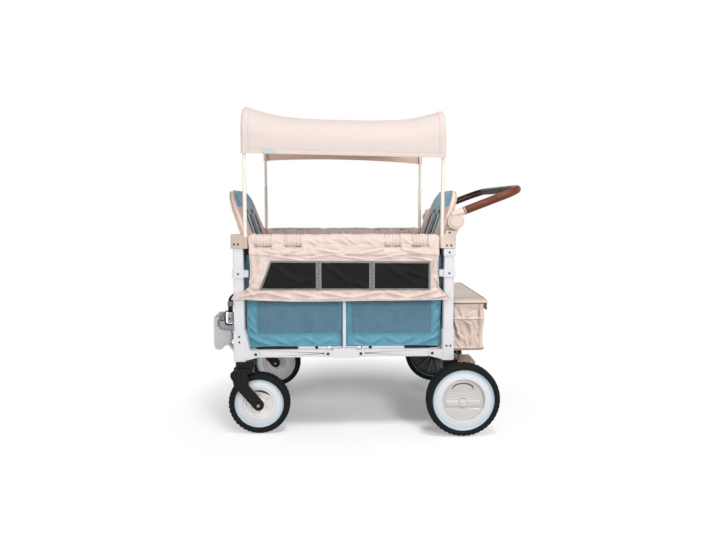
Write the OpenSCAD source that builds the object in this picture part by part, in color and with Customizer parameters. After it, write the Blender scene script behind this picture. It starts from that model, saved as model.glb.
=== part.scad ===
// Two-seat folding stroller wagon: box-tube corner posts, folding side rails,
// fabric tub, canopy on telescoping poles, push handle, swivel casters.
// Front (caster and pull-handle end) is -X, the push handle is at +X.
// Inside this file x = 0 is the centre post; the whole is shifted so that the
// origin is the middle of the bounding box on the ground.

/* [Corner posts] */
// Distance from the middle to the corner post centres
post_x = 367; // [365:0.5:368]
// Distance from the centre plane to the corner post centres
post_y = 262; // [262:0.5:262.5]
// Post width along the wagon
post_w = 36; // [34:0.5:36]
// Post depth across the wagon
post_d = 30; // [28:0.5:30]
// Top of the corner posts
post_top = 700; // [696:1:706]

/* [Folding rails] */
// Half length of a folding rail between its two pivots
rail_len = 253; // [252:0.5:253]
// Height of the lower rail pivots
low_z = 287; // [286:0.5:288]
// Height of the upper rail pivots
up_z = 684; // [683:0.5:685]
// Lower rail height
low_h = 26; // [24:0.5:26]
// Upper rail tube radius
up_r = 8.5; // [8:0.1:8.5]
// Padded cover radius
cover_r = 23; // [22:0.1:23]

/* [Wheels] */
// Rear wheel radius
rear_r = 130; // [129:0.5:130]
// Rear axle position behind the middle
rear_x = 415; // [412:0.5:418]
// Rear wheel plane from the centre plane
rear_y = 306; // [306:0.5:308]
// Front wheel radius
front_r = 109; // [108:0.5:109]
// Caster swivel axis ahead of the middle
swivel_x = 350; // [349:0.5:351]
// Caster trail
trail = 48; // [46:0.5:48]
// Front wheel plane from the centre plane
front_y = 257; // [256:0.5:258]

/* [Canopy] */
// Pole position along the wagon
pole_x = 341; // [341:0.25:341.5]
// Pole position across the wagon
pole_y = 274; // [274:0.25:274.25]
// Outer pole tube radius
pole_r = 6.5; // [6.4:0.05:6.5]
// Inner pole and bow tube radius
bow_r = 5.25; // [5.1:0.05:5.25]
// Height of the bow centre line
bow_z = 1142; // [1120:1:1150]
// How much lower the rear bow stands
bow_drop = 12; // [6:0.5:16]
// Bow corner radius
bow_c = 85; // [80:1:90]
// Sag of the sheet between the bows
canopy_sag = 34; // [20:1:40]

/* [Push handle] */
// Handle pivot position
hub_x = 385; // [384:0.5:386]
// Handle pivot height
hub_z = 754; // [752:1:758]
// Handle angle above level
handle_ang = 21; // [18:1:26]
// Handle length from the pivot to the cross grip
handle_len = 255; // [240:1:280]
// How far the arms stand off the pivot
handle_off = 23; // [22:0.5:24]
// Grip radius
grip_r = 14.5; // [14:0.1:14.5]
// Handle arm distance from the centre plane
arm_y = 286; // [286:0.25:286.5]

/* [Seats] */
// Seat back lean away from upright
lean = 17.2; // [14:0.2:17.2]
// Seat back length
back_len = 474; // [440:1:476]
// Half width of a seat back
back_y = 183; // [170:1:190]
// Seat back thickness
back_t = 42; // [36:1:42]

/* [Bag] */
// Rear face of the bag
bag_x = 520; // [500:1:530]
// Half width of the bag
bag_y = 221; // [200:1:221]

/* [Hidden] */
$fn = 48;
up_end = 333;               // upper rail outer pivots
up_mid = up_end - rail_len; // upper rail inner pivots
lo_end = 311;               // lower rail outer pivots
lo_mid = lo_end - rail_len; // lower rail inner pivots
rail_y = 256;               // upper rail tube plane
front_wx = -swivel_x + trail;
handle_reach = hub_x + handle_len * cos(handle_ang) - handle_off * sin(handle_ang) + grip_r;
pull_min = -506;            // foremost face of the pull grip
x_mid = (handle_reach + pull_min) / 2;
brake_x = 400;
brake_z = 225;
white = "#e6e4e8";
beige = "#ecd9cb";
cream = "#f4e4da";
teal = "#5f9fb8";
black = "#1c1c1c";
grey = "#c4c4c4";
leather = "#8f4e35";

// ---------- helpers ----------
function arc(cx, cy, r, a0, a1, n) = [for (i = [0:n]) let (a = a0 + (a1 - a0) * i / n) [cx + r * cos(a), cy + r * sin(a)]];
function rrect(x0, y0, x1, y1, r, n = 5) = concat(
    arc(x1 - r, y1 - r, r, 0, 90, n), arc(x0 + r, y1 - r, r, 90, 180, n),
    arc(x0 + r, y0 + r, r, 180, 270, n), arc(x1 - r, y0 + r, r, 270, 360, n));
function stadium(x0, x1, z, r, n = 10) = concat(arc(x1, z, r, -90, 90, n), arc(x0, z, r, 90, 270, n));
module placed() { translate([-x_mid, 0, 0]) children(); }
module both() { children(); mirror([0, 1, 0]) children(); }
module rear() { mirror([1, 0, 0]) children(); }
module xz(y0, y1) { translate([0, y1, 0]) rotate([90, 0, 0]) linear_extrude(y1 - y0) children(); }
module yz(x0, x1) { translate([x0, 0, 0]) rotate([90, 0, 90]) linear_extrude(x1 - x0) children(); }
module xy(z0, z1) { translate([0, 0, z0]) linear_extrude(z1 - z0) children(); }
module ycyl(x, z, r, y0, y1) { translate([x, y1, z]) rotate([90, 0, 0]) cylinder(r = r, h = y1 - y0); }
module zcyl(x, y, r, z0, z1) { translate([x, y, z0]) cylinder(r = r, h = z1 - z0); }
module xcyl(y, z, r, x0, x1) { translate([x0, y, z]) rotate([0, 90, 0]) cylinder(r = r, h = x1 - x0); }
// round bar between two points of a plane y = const
module bar(p, q, r, y = 0) {
    d = q - p;
    translate([p[0], y, p[1]]) rotate([0, atan2(d[0], d[1]), 0]) cylinder(r = r, h = norm(d));
}
module turned(x, y, z) { translate([x, y, z]) rotate([-90, 0, 0]) rotate_extrude($fn = 96) children(); }

// ---------- frame pieces, drawn for the front end, +Y side ----------
module post_outline(g = 0) {
    polygon(rrect(-post_x - post_w / 2 - g, post_y - post_d / 2 - g, -post_x + post_w / 2 + g, post_y + post_d / 2 + g, 5));
}
module posts() {
    both() xy(266, post_top) difference() {
        post_outline();
        polygon(rrect(-post_x - post_w / 2 + 2, post_y - post_d / 2 + 2, -post_x + post_w / 2 - 2, post_y + post_d / 2 - 2, 3));
    }
}
module top_bracket_body(x0 = -391) {
    xy(660, 708) polygon(rrect(x0, 243, -345, 281.5, 5));
    xy(660, 700) polygon(rrect(-353, 265, -332.5, 282.5, 8));
    xz(244.5, 250) polygon(concat([[-350, up_z - 12]], arc(-up_end, up_z, 12, -90, 90, 8), [[-350, up_z + 12]]));
    xz(262, 267) polygon(concat([[-350, up_z - 12]], arc(-up_end, up_z, 12, -90, 90, 8), [[-350, up_z + 12]]));
}
module top_bracket_cuts() {
    xy(655, post_top) post_outline();
    zcyl(-pole_x, pole_y, pole_r + 0.05, 664, 730);
    ycyl(-up_end, up_z, 4.05, 240, 266);
}
module bottom_brackets(rib = [[-332, 301], [-334, 309], [-347, 371], [-350, 371]]) {
    both() difference() {
        union() {
            xy(262, 372) polygon(rrect(-388, 245, -346, 279.5, 6));
            for (y = [248, 270.5]) xz(y, y + 5.5)
                polygon(concat([[-350, 264]], arc(-lo_end, low_z, 13, -90, 90, 8), rib));
        }
        xy(266, 380) post_outline();
        ycyl(-lo_end, low_z, 4.05, 240, 290);
    }
}
module mid_collar() {
    difference() {
        union() {
            xy(558, 586) polygon(rrect(-389, 244.5, -346, 280.5, 5));
            xy(560, 584) polygon(rrect(-352, 252, -331, 276, 3));
        }
        xy(550, 590) post_outline();
    }
}
module pole_tubes() {
    both() difference() {
        zcyl(-pole_x, pole_y, pole_r, 664, 890);
        zcyl(-pole_x, pole_y, bow_r + 0.05, 667, 895);
    }
}
module pins() {
    both() {
        ycyl(-up_end, up_z, 4, 244.5, 265.5);
        ycyl(-lo_end, low_z, 4, 248, 276);
        ycyl(-lo_end, low_z, 5, 276, 278);
    }
}
module screw(x, z, y) { both() ycyl(x, z, 3.4, y, y + 1.5); }
module end_panel() { yz(-366, -362) polygon(rrect(-240, 308, 240, 660, 12)); }
module seat_base() { xz(-back_y - 7, back_y + 7) polygon(rrect(-290, 302, -100, 396, 24)); }
module side_walls() { both() translate([-344, 244, 308]) cube([339, 3, 347]); }
module seat_back() {
    translate([-260, 0, 416]) rotate([0, -lean, 0]) {
        yz(-back_t / 2, back_t / 2) polygon(concat(arc(back_y - 66, back_len - 66, 66, 0, 90, 10),
            arc(66 - back_y, back_len - 66, 66, 90, 180, 10), [[-back_y, 0], [back_y, 0]]));
        ycyl(0, 0, 12, -back_y, back_y);
    }
}
module bow(h) {
    both() {
        zcyl(-pole_x, pole_y, bow_r, 832, h - bow_c);
        translate([-pole_x, pole_y - bow_c, h - bow_c]) rotate([90, 0, 90])
            rotate_extrude(angle = 90, $fn = 64) translate([bow_c, 0]) circle(r = bow_r);
    }
    ycyl(-pole_x, h, bow_r, -(pole_y - bow_c), pole_y - bow_c);
}
module upper_rails() {
    both() difference() {
        union() {
            xcyl(rail_y, up_z, up_r, -up_end + 15, -up_mid - 15);
            for (e = [0, 1]) xz(rail_y - 5.5, rail_y + 5.5)
                polygon(e == 0 ? stadium(-up_end, -up_end + 36, up_z, 8) : stadium(-up_mid - 36, -up_mid, up_z, 8));
        }
        ycyl(-up_end, up_z, 4.05, 240, 270);
        ycyl(-up_mid, up_z, 4.05, 240, 270);
    }
}
module rail_covers() {
    both() difference() {
        xcyl(258, up_z, cover_r, -331, -6);
        xcyl(rail_y, up_z, 17.5, -340, 0);
    }
}
module lower_rails() {
    both() difference() {
        xz(254, 270) polygon(stadium(-lo_end, -lo_mid, low_z, low_h / 2));
        ycyl(-lo_end, low_z, 4.05, 240, 280);
        ycyl(-lo_mid, low_z, 4.4, 240, 280);
    }
}
module floor_board() {
    xy(286, 298) polygon([[-298, -246], [-285, -246], [-285, -254], [-86, -254], [-86, -246], [-62, -246],
        [-62, 246], [-86, 246], [-86, 254], [-285, 254], [-285, 246], [-298, 246]]);
}

// ---------- nodes: front frame ----------
module front_posts() { color(white) placed() posts(); }
module front_cross_bars() {
    color(white) placed() {
        ycyl(-378.5, up_z, 9.5, -243, 243);
        ycyl(-362, 251, 9, -228, 228);
    }
}
module front_top_brackets() { color(beige) placed() both() difference() { top_bracket_body(); top_bracket_cuts(); } }
module front_bottom_brackets() { color(white) placed() bottom_brackets(); }
module front_collars() { color(white) placed() both() mid_collar(); }
module front_pole_tubes() { color(cream) placed() pole_tubes(); }
module front_fasteners() {
    color(grey) placed() {
        pins();
        screw(-379, 675, 281.5); screw(-365, 675, 281.5); screw(-post_x, 572, 280.5);
        screw(-post_x, 351, 279.5); screw(-post_x, 332, 279.5);
    }
}
module front_end_panel() { color(teal) placed() end_panel(); }
module front_seat_base() { color(teal) placed() seat_base(); }
module front_side_walls() { color(teal) placed() side_walls(); }
module caster_housings() {
    color(black) placed() both() difference() {
        xy(240, 262) polygon(rrect(-381, 228, -319, 286, 14));
        zcyl(-swivel_x, front_y, 8.05, 230, 258.5);
    }
}

// ---------- nodes: casters ----------
module fork() {
    difference() {
        union() {
            zcyl(-swivel_x, front_y, 8, 230, 258);
            xy(222, 239.5) polygon(rrect(-382, front_y - 35, -322, front_y + 35, 16));
            for (s = [-35, 27]) xz(front_y + s, front_y + s + 8)
                polygon(concat([[-368, 236], [-389, 232], [-397, 225], [-399, 214], [-395, 204], [-390, 198], [-387, 180]],
                    arc(front_wx, front_r, 19, 215, 395, 12), [[-335, 178], [-337, 205], [-340, 236]]));
        }
        ycyl(front_wx, front_r, 5.05, front_y - 60, front_y + 60);
    }
    ycyl(front_wx, front_r, 5, front_y - 38, front_y + 36);
    ycyl(front_wx, front_r, 9, front_y + 36, front_y + 40);
}
module caster_fork_left() { color(black) placed() mirror([0, 1, 0]) fork(); }
module caster_fork_right() { color(black) placed() fork(); }
module front_tyre_shape() {
    turned(front_wx, front_y, front_r) polygon([[91.5, -20], [102, -21.5], [107.5, -15], [front_r, -6],
        [front_r, 6], [107.5, 15], [102, 21.5], [91.5, 20]]);
}
module front_rim_shape() {
    turned(front_wx, front_y, front_r) polygon([[5.05, -20], [16, -20], [18, -15], [46, -13], [49, -17], [86, -18.5], [91.4, -18.5],
        [91.4, 18.5], [86, 18.5], [49, 17], [46, 13], [18, 15], [16, 20], [5.05, 20]]);
}
module front_tyre_left() { color(black) placed() mirror([0, 1, 0]) front_tyre_shape(); }
module front_tyre_right() { color(black) placed() front_tyre_shape(); }
module front_rim_left() { color("white") placed() mirror([0, 1, 0]) front_rim_shape(); }
module front_rim_right() { color("white") placed() front_rim_shape(); }

// ---------- nodes: pull handle ----------
pull_a = [-362, 251];
pull_b = [-424, 213];
pull_c = [-473, 279];
module pull_path(g) {
    bar(pull_a, pull_b, 8 + g);
    translate([pull_b[0], 0, pull_b[1]]) sphere(r = 8.8 + g);
    bar(pull_b, pull_c, 8 + g);
}
module pull_arm() {
    color(grey) placed() difference() {
        union() { ycyl(-362, 251, 15, -22, 22); pull_path(0); }
        ycyl(-362, 251, 9.06, -30, 30);
    }
}
module pull_grip() {
    color(grey) placed() difference() {
        intersection() {
            xz(-58, 58) polygon(concat([[pull_min, 374], [-502, 378], [-487, 378], [-483, 374], [-483, 334], [-478, 327], [-443, 322], [-438, 316],
                [-439, 277], [-448, 268], [-464, 262]], arc(-487, 265, 19, -50, -180, 8)));
            yz(-540, -420) polygon(rrect(-58, 238, 58, 378, 15));
        }
        yz(-540, -420) polygon(rrect(-40, 292, 40, 356, 10));
        pull_path(0.1);
    }
}

// ---------- nodes: seats, canopy ----------
module front_seat_back() { color(teal) placed() seat_back(); }
module front_bow() { color(cream) placed() bow(bow_z); }
cn = 16;
cj = 8;
function can_x(i) = i == 0 ? -352 : i == cn ? 352 : -332 + 664 * (i - 1) / (cn - 2);
function can_top(x) = bow_z - bow_drop * (1 + x / pole_x) / 2 + bow_r + 3.8 - canopy_sag * (1 - pow(min(1, abs(x) / 331), 2.2));
function can_low(x) = 983 - 7 * (x / 352);
function can_half(x, t) = let (top = can_top(x) - t, yo = pole_y + bow_r + 3.8 - t, c = bow_c + bow_r + 3.8 - t)
    concat([[yo, can_low(x)], [yo, (can_low(x) + top - c) / 2]], arc(yo - c, top - c, c, 0, 90, cj));
function can_u(x, t) = let (h = can_half(x, t), n = len(h))
    concat(h, [for (k = [n - 1:-1:0]) [-h[k][0], h[k][1]]]);
function can_loop(x) = let (o = can_u(x, 0), q = can_u(x, 3), n = len(q)) concat(o, [for (k = [n - 1:-1:0]) q[k]]);
module canopy() {
    m = len(can_loop(0));
    color(cream) placed() polyhedron(
        points = [for (i = [0:cn]) each [for (p = can_loop(can_x(i))) [can_x(i), p[0], p[1]]]],
        faces = concat([[for (k = [0:m - 1]) k]], [[for (k = [m - 1:-1:0]) cn * m + k]],
            [for (i = [0:cn - 1]) for (k = [0:m - 1]) let (a = i * m + k, b = i * m + (k + 1) % m) [b, a, a + m, b + m]]),
        convexity = 6);
}

// ---------- nodes: folding sides and floor ----------
module front_upper_rails() { color(white) placed() upper_rails(); }
module front_rail_covers() { color(cream) placed() rail_covers(); }
module front_lower_rails() { color(white) placed() lower_rails(); }
module front_floor() { color(black) placed() floor_board(); }
module centre_tubes() {
    color(white) placed() {
        both() translate([-5.5, 250, 306]) cube([11, 14, 366]);
        translate([-50, -248, 282]) cube([100, 496, 16]);
    }
}
module centre_brackets() {
    color(white) placed() both() {
        difference() {
            union() {
                for (y = [248, 270.5]) xz(y, y + 5.5) polygon(stadium(-lo_mid, lo_mid, low_z, 13));
                translate([-40, 248, 272]) cube([80, 28, 34]);
            }
            for (s = [-1, 1]) ycyl(s * lo_mid, low_z, 4.05, 240, 280);
        }
        difference() {
            union() {
                for (y = [244.5, 262]) xz(y, y + 5.5) polygon(stadium(-up_mid, up_mid, up_z, 12));
                translate([-55, 244.5, 674]) cube([110, 23, 20]);
            }
            for (s = [-1, 1]) ycyl(s * up_mid, up_z, 4.05, 240, 270);
        }
    }
}
module centre_pins() {
    color(grey) placed() both() for (s = [-1, 1]) {
        ycyl(s * up_mid, up_z, 4, 244.5, 267.5);
        ycyl(s * lo_mid, low_z, 4, 248, 276);
        ycyl(s * lo_mid, low_z, 5, 276, 278);
    }
}
function flap_side() = concat([[360, 480], [360, 506]], arc(360, 540, 26, -110, -180, 6), [[333, 580], [335, 640], [316, 656], [316, 690]]);
module side_flaps() {
    color(cream) placed() both() xz(282, 285)
        polygon(concat(flap_side(), let (f = flap_side(), n = len(f)) [for (k = [n - 1:-1:0]) [-f[k][0], f[k][1]]]));
}
module rear_upper_rails() { color(white) placed() rear() upper_rails(); }
module rear_rail_covers() { color(cream) placed() rear() rail_covers(); }
module rear_lower_rails() { color(white) placed() rear() lower_rails(); }
module rear_floor() { color(black) placed() rear() floor_board(); }

// ---------- nodes: rear frame ----------
module rear_posts() { color(white) placed() rear() posts(); }
module rear_cross_bars() {
    color(white) placed() {
        ycyl(378.5, up_z, 9.5, -243, 243);
        ycyl(post_x, 275, 10, -245, 245);
    }
}
module rear_top_brackets() {
    color(beige) placed() both() {
        difference() {
            union() {
                rear() top_bracket_body(-389);
                xz(256, 271.5) polygon(concat([[389, 700]], arc(hub_x, hub_z, 25, 0, 190, 14), [[353, 722], [350, 700]]));
                xz(271, 281.5) polygon([[389, 700], [389, 718], [385, 722], [356, 722], [352, 718], [350, 700]]);
            }
            rear() top_bracket_cuts();
        }
        ycyl(hub_x, hub_z, 6, 271.5, 283);
    }
}
module rear_bottom_brackets() { color(white) placed() rear() bottom_brackets([[-350, 300]]); }
module rear_collars() {
    color(white) placed() both() {
        rear() mid_collar();
        rear() difference() {
            xy(634, 658) polygon(rrect(-389, 244.5, -346, 280.5, 5));
            xy(630, 660) post_outline();
        }
    }
}
module rear_pole_tubes() { color(cream) placed() rear() pole_tubes(); }
module rear_fasteners() {
    color(grey) placed() {
        rear() pins();
        screw(357, 669.5, 281.5); screw(372, 669.5, 281.5); screw(366, 714, 281.5); screw(post_x, 572, 280.5);
        screw(post_x, 645, 280.5); screw(360, 314, 279.5); screw(374, 314, 279.5);
    }
}
module rear_end_panel() { color(teal) placed() rear() end_panel(); }
module rear_seat_base() { color(teal) placed() rear() seat_base(); }
module rear_side_walls() { color(teal) placed() rear() side_walls(); }
module rear_legs() {
    color(black) placed() both() difference() {
        xz(250, 277) polygon(concat([[346, 262], [400, 262]], arc(rear_x, rear_r, 24, 20, -170, 14), [[350, 232]]));
        ycyl(rear_x, rear_r, 8.05, 240, 290);
        ycyl(brake_x, brake_z, 6.05, 240, 290);
    }
}
module rear_axle() { color(grey) placed() ycyl(rear_x, rear_r, 8, -rear_y - 6, rear_y + 6); }
module bag() {
    color(beige) placed() difference() {
        xy(285, 452) polygon(rrect(386, -bag_y, bag_x, bag_y, 14));
        xy(289, 460) polygon(rrect(390, -bag_y + 4, bag_x - 4, bag_y - 4, 10));
    }
}
module rear_seat_back() { color(teal) placed() rear() seat_back(); }
module rear_bow() { color(cream) placed() rear() bow(bow_z - bow_drop); }

// ---------- nodes: rear wheels ----------
module rear_tyre_shape() {
    turned(rear_x, rear_y, rear_r) polygon([[112, -21], [123, -22], [128.5, -15], [rear_r, -6],
        [rear_r, 6], [128.5, 15], [123, 22], [112, 21]]);
}
module rear_rim_shape() {
    turned(rear_x, rear_y, rear_r) polygon([[8.05, -27.5], [45, -27.5], [45, -17], [66, -14], [72, -19], [106, -20], [111.9, -20],
        [111.9, 20], [106, 20], [77, 18.5], [75, 13], [0, 13], [0, 8], [8.05, 8]]);
}
module rear_tyre_left() { color(black) placed() mirror([0, 1, 0]) rear_tyre_shape(); }
module rear_tyre_right() { color(black) placed() rear_tyre_shape(); }
module rear_rim_left() { color("white") placed() mirror([0, 1, 0]) rear_rim_shape(); }
module rear_rim_right() { color("white") placed() rear_rim_shape(); }

// ---------- nodes: push handle ----------
module handle_path(r, u0) {
    c = 70;
    for (s = [-1, 1]) mirror([0, s < 0 ? 1 : 0, 0]) {
        xcyl(arm_y, 0, r, u0, handle_len - c);
        translate([handle_len - c, arm_y - c, 0]) rotate_extrude(angle = 90, $fn = 64) translate([c, 0]) circle(r = r);
    }
    translate([handle_len, arm_y - c, 0]) rotate([90, 0, 0]) cylinder(r = r, h = 2 * (arm_y - c));
}
module at_hub() { translate([hub_x, 0, hub_z]) rotate([0, -handle_ang, 0]) children(); }
module arms() { translate([0, 0, handle_off]) children(); }
module handle_tube() { color(grey) placed() at_hub() arms() handle_path(11, 17); }
module handle_grip() {
    color(leather) placed() at_hub() arms() difference() { handle_path(grip_r, 38); handle_path(11.1, 20); }
}
module handle_hubs() {
    color(beige) placed() at_hub() both() difference() {
        union() {
            ycyl(0, 0, 28, 272, 297);
            arms() xcyl(arm_y, 0, 13.6, -6, 37);
        }
        ycyl(0, 0, 6.05, 270, 283.5);
        ycyl(0, 0, 20.3, 285, 310);
        arms() xcyl(arm_y, 0, 11.05, 16.5, 60);
    }
}
module hub_button() { ycyl(hub_x, hub_z, 20, 289, 300.5); }
module hub_button_left() { color(cream) placed() mirror([0, 1, 0]) hub_button(); }
module hub_button_right() { color(cream) placed() hub_button(); }

// ---------- nodes: brake, bag lid ----------
module brake_pedal() {
    va = [rear_x - brake_x, rear_r - brake_z];
    vn = va / norm(va);
    tip = [brake_x + 44 * (vn[0] * cos(25) - vn[1] * sin(25)), brake_z + 44 * (vn[0] * sin(25) + vn[1] * cos(25))];
    color("#8d7f74") placed() {
        ycyl(brake_x, brake_z, 6, -283, 283);
        both() {
            bar_y = 278.5;
            xz(bar_y, bar_y + 4) polygon(concat(arc(brake_x, brake_z, 10, 60, 210, 8), arc(tip[0], tip[1], 6, 210, 400, 8)));
        }
        xz(-14, 14) polygon(concat(arc(brake_x, brake_z, 11, 75, 255, 8), [[456, 176], [470, 176], [470, 192], [450, 207]]));
        intersection() {
            xz(-40, 40) polygon([[454, 184], [460, 175], [516, 171], [525, 176], [524, 186], [510, 199], [488, 204], [466, 201]]);
            yz(445, 540) polygon(arc(0, 153, 50, -20, 200, 20));
        }
    }
}
module bag_lid() {
    color(beige) placed() {
        xy(452.5, 466) polygon(rrect(388, -bag_y - 3, bag_x + 4, bag_y + 3, 14));
        ycyl(388, 459.25, 6, -bag_y + 12, bag_y - 12);
    }
}

front_posts();
front_cross_bars();
front_top_brackets();
front_bottom_brackets();
front_collars();
front_pole_tubes();
front_fasteners();
front_end_panel();
front_seat_base();
front_side_walls();
caster_housings();
caster_fork_left();
caster_fork_right();
front_tyre_left();
front_rim_left();
front_tyre_right();
front_rim_right();
pull_arm();
pull_grip();
front_seat_back();
front_bow();
canopy();
front_upper_rails();
front_rail_covers();
front_lower_rails();
front_floor();
centre_tubes();
centre_brackets();
centre_pins();
side_flaps();
rear_upper_rails();
rear_rail_covers();
rear_lower_rails();
rear_floor();
rear_posts();
rear_cross_bars();
rear_top_brackets();
rear_bottom_brackets();
rear_collars();
rear_pole_tubes();
rear_fasteners();
rear_end_panel();
rear_seat_base();
rear_side_walls();
rear_legs();
rear_axle();
bag();
rear_seat_back();
rear_bow();
rear_tyre_left();
rear_rim_left();
rear_tyre_right();
rear_rim_right();
handle_tube();
handle_grip();
handle_hubs();
hub_button_left();
hub_button_right();
brake_pedal();
bag_lid();
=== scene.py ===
import math
import bpy
import bmesh
import numpy as np
from mathutils import Vector, Matrix, noise


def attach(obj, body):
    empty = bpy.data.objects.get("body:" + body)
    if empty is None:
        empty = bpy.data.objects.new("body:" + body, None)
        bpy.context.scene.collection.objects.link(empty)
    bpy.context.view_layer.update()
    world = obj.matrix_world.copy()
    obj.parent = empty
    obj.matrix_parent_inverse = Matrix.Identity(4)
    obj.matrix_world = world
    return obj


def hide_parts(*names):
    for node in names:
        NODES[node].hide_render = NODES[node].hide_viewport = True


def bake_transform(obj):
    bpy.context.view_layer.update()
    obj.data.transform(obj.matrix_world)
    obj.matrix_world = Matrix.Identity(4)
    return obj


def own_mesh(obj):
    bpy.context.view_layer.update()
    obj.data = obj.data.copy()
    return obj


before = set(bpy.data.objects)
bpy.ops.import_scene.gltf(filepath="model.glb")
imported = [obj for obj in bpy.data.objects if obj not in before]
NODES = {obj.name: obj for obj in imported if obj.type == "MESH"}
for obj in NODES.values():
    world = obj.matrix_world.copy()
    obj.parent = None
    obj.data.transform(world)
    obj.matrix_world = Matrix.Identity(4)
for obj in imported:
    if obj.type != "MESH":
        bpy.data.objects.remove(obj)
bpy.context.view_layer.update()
SCENE = bpy.context.scene
COLL = SCENE.collection

# Lengths below are in millimetres in the wagon's own axes: x = 0 at the centre
# post, front at -x, left side (towards the camera) at -y, ground at z = 0.
XM = 61.66027295862227


# ------------------------------------------------------------------ helpers
def W(a):
    """Wagon millimetres to row-frame metres."""
    a = np.asarray(a, float).reshape(-1, 3).copy()
    a[:, 0] -= XM
    return a / 1000.0


def P(x, y, z):
    return Vector(((x - XM) / 1000.0, y / 1000.0, z / 1000.0))


def lin(h):
    h = h.lstrip("#")
    out = []
    for i in (0, 2, 4):
        c = int(h[i:i + 2], 16) / 255.0
        out.append(c / 12.92 if c <= 0.04045 else ((c + 0.055) / 1.055) ** 2.4)
    return tuple(out)


LEVEL = 0.72


def rgba(h):
    """A surface colour, set down by the level the key light lifts it."""
    return (*(LEVEL * c for c in lin(h)), 1.0)


def smooth(a, b, x):
    t = np.clip((np.asarray(x, float) - a) / (b - a), 0, 1)
    return t * t * (3 - 2 * t)


def bump01(x, c, w):
    """A round bump of half-width w about c."""
    return np.exp(-((np.asarray(x, float) - c) / w) ** 2)


def nz(p, s, seed=0.0):
    """Smooth noise, about -1..1, at points p (mm) with features of size s (mm)."""
    p = np.asarray(p, float).reshape(-1, 3) / s
    off = Vector((seed * 17.31, seed * 5.77, seed * 9.13))
    return np.array([noise.noise(Vector(q) + off) for q in p])


def nzf(p, s, seed=0.0, octaves=3):
    out, amp, tot = 0.0, 1.0, 0.0
    for k in range(octaves):
        out = out + amp * nz(p, s / 2 ** k, seed + 3.1 * k)
        tot += amp
        amp *= 0.5
    return out / tot


def crease(p2, folds):
    """Sum of soft ridges. p2: points (n,2); folds: (x0,z0,x1,z1,width,height)."""
    p2 = np.asarray(p2, float)
    out = np.zeros(len(p2))
    for x0, z0, x1, z1, w, h in folds:
        a = np.array([x0, z0], float)
        d = np.array([x1 - x0, z1 - z0], float)
        L = np.hypot(*d)
        d /= L
        q = p2 - a
        t = q @ d
        s = q @ np.array([-d[1], d[0]])
        tc = np.clip(t / L, 0, 1)
        end = np.exp(-(np.maximum(0, np.maximum(-t, t - L)) / (w * 1.6)) ** 2)
        taper = 0.35 + 0.65 * np.sin(math.pi * np.clip(0.08 + 0.84 * tc, 0, 1))
        out += h * end * taper * np.exp(-(s / w) ** 2)
        out -= 0.45 * h * end * taper * np.exp(-((s - 1.7 * w) / (1.3 * w)) ** 2)
    return out


def make(name, verts_mm, faces, mats=(), index=None, sharp=38, uv=None, body=None):
    me = bpy.data.meshes.new(name)
    v = W(verts_mm)
    me.from_pydata(v.tolist(), [], [list(map(int, f)) for f in faces])
    for m in mats:
        me.materials.append(m)
    if index is not None:
        me.polygons.foreach_set("material_index", np.asarray(index, np.int32))
    me.update()
    finish_mesh(me, sharp)
    ob = bpy.data.objects.new(name, me)
    COLL.objects.link(ob)
    if uv is not None:
        lay = me.uv_layers.new(name="UVMap")
        loops = np.zeros(len(me.loops), np.int32)
        me.loops.foreach_get("vertex_index", loops)
        lay.data.foreach_set("uv", np.asarray(uv, np.float32)[loops].ravel())
    else:
        box_uv(me)
    if body:
        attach(ob, body)
    return ob


def finish_mesh(me, sharp=38):
    me.shade_smooth()
    if sharp:
        me.set_sharp_from_angle(angle=math.radians(sharp))


def box_uv(me):
    """UVs in metres, projected along each face's main axis."""
    lay = me.uv_layers.get("UVMap") or me.uv_layers.new(name="UVMap")
    n = len(me.loops)
    li = np.zeros(n, np.int32)
    me.loops.foreach_get("vertex_index", li)
    co = np.zeros(len(me.vertices) * 3, np.float32)
    me.vertices.foreach_get("co", co)
    co = co.reshape(-1, 3)[li]
    nor = np.zeros(len(me.polygons) * 3, np.float32)
    me.polygons.foreach_get("normal", nor)
    nor = np.abs(nor.reshape(-1, 3))
    tot = np.zeros(len(me.polygons), np.int32)
    me.polygons.foreach_get("loop_total", tot)
    ax = np.repeat(nor.argmax(1), tot)
    uv = np.where((ax == 0)[:, None], co[:, [1, 2]],
                  np.where((ax == 1)[:, None], co[:, [0, 2]], co[:, [0, 1]]))
    lay.data.foreach_set("uv", uv.astype(np.float32).ravel())


def bake_mods(ob):
    """Turns the modifiers of ob into plain mesh."""
    dg = bpy.context.evaluated_depsgraph_get()
    dg.update()
    me = bpy.data.meshes.new_from_object(ob.evaluated_get(dg), depsgraph=dg)
    ob.modifiers.clear()
    old = ob.data
    ob.data = me
    bpy.data.meshes.remove(old)
    return ob


def solidify(ob, t_mm, offset=0.0, inner=0, rim=0):
    m = ob.modifiers.new("thick", "SOLIDIFY")
    m.thickness = t_mm / 1000.0
    m.offset = offset
    m.use_even_offset = False
    m.material_offset = inner
    m.material_offset_rim = rim
    bake_mods(ob)
    finish_mesh(ob.data)
    return ob


def subsurf(ob, n=1, sharp=None):
    m = ob.modifiers.new("sub", "SUBSURF")
    m.levels = m.render_levels = n
    bake_mods(ob)
    finish_mesh(ob.data, sharp)
    return ob


def grid_faces(nu, nv, cu=False, cv=False, skip=None):
    """Faces of a grid of nu x nv points, index i * nv + j."""
    f = []
    for i in range(nu if cu else nu - 1):
        for j in range(nv if cv else nv - 1):
            if skip is not None and skip(i, j):
                continue
            a, b = i, (i + 1) % nu
            c, d = j, (j + 1) % nv
            f.append((a * nv + c, b * nv + c, b * nv + d, a * nv + d))
    return f


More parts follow.
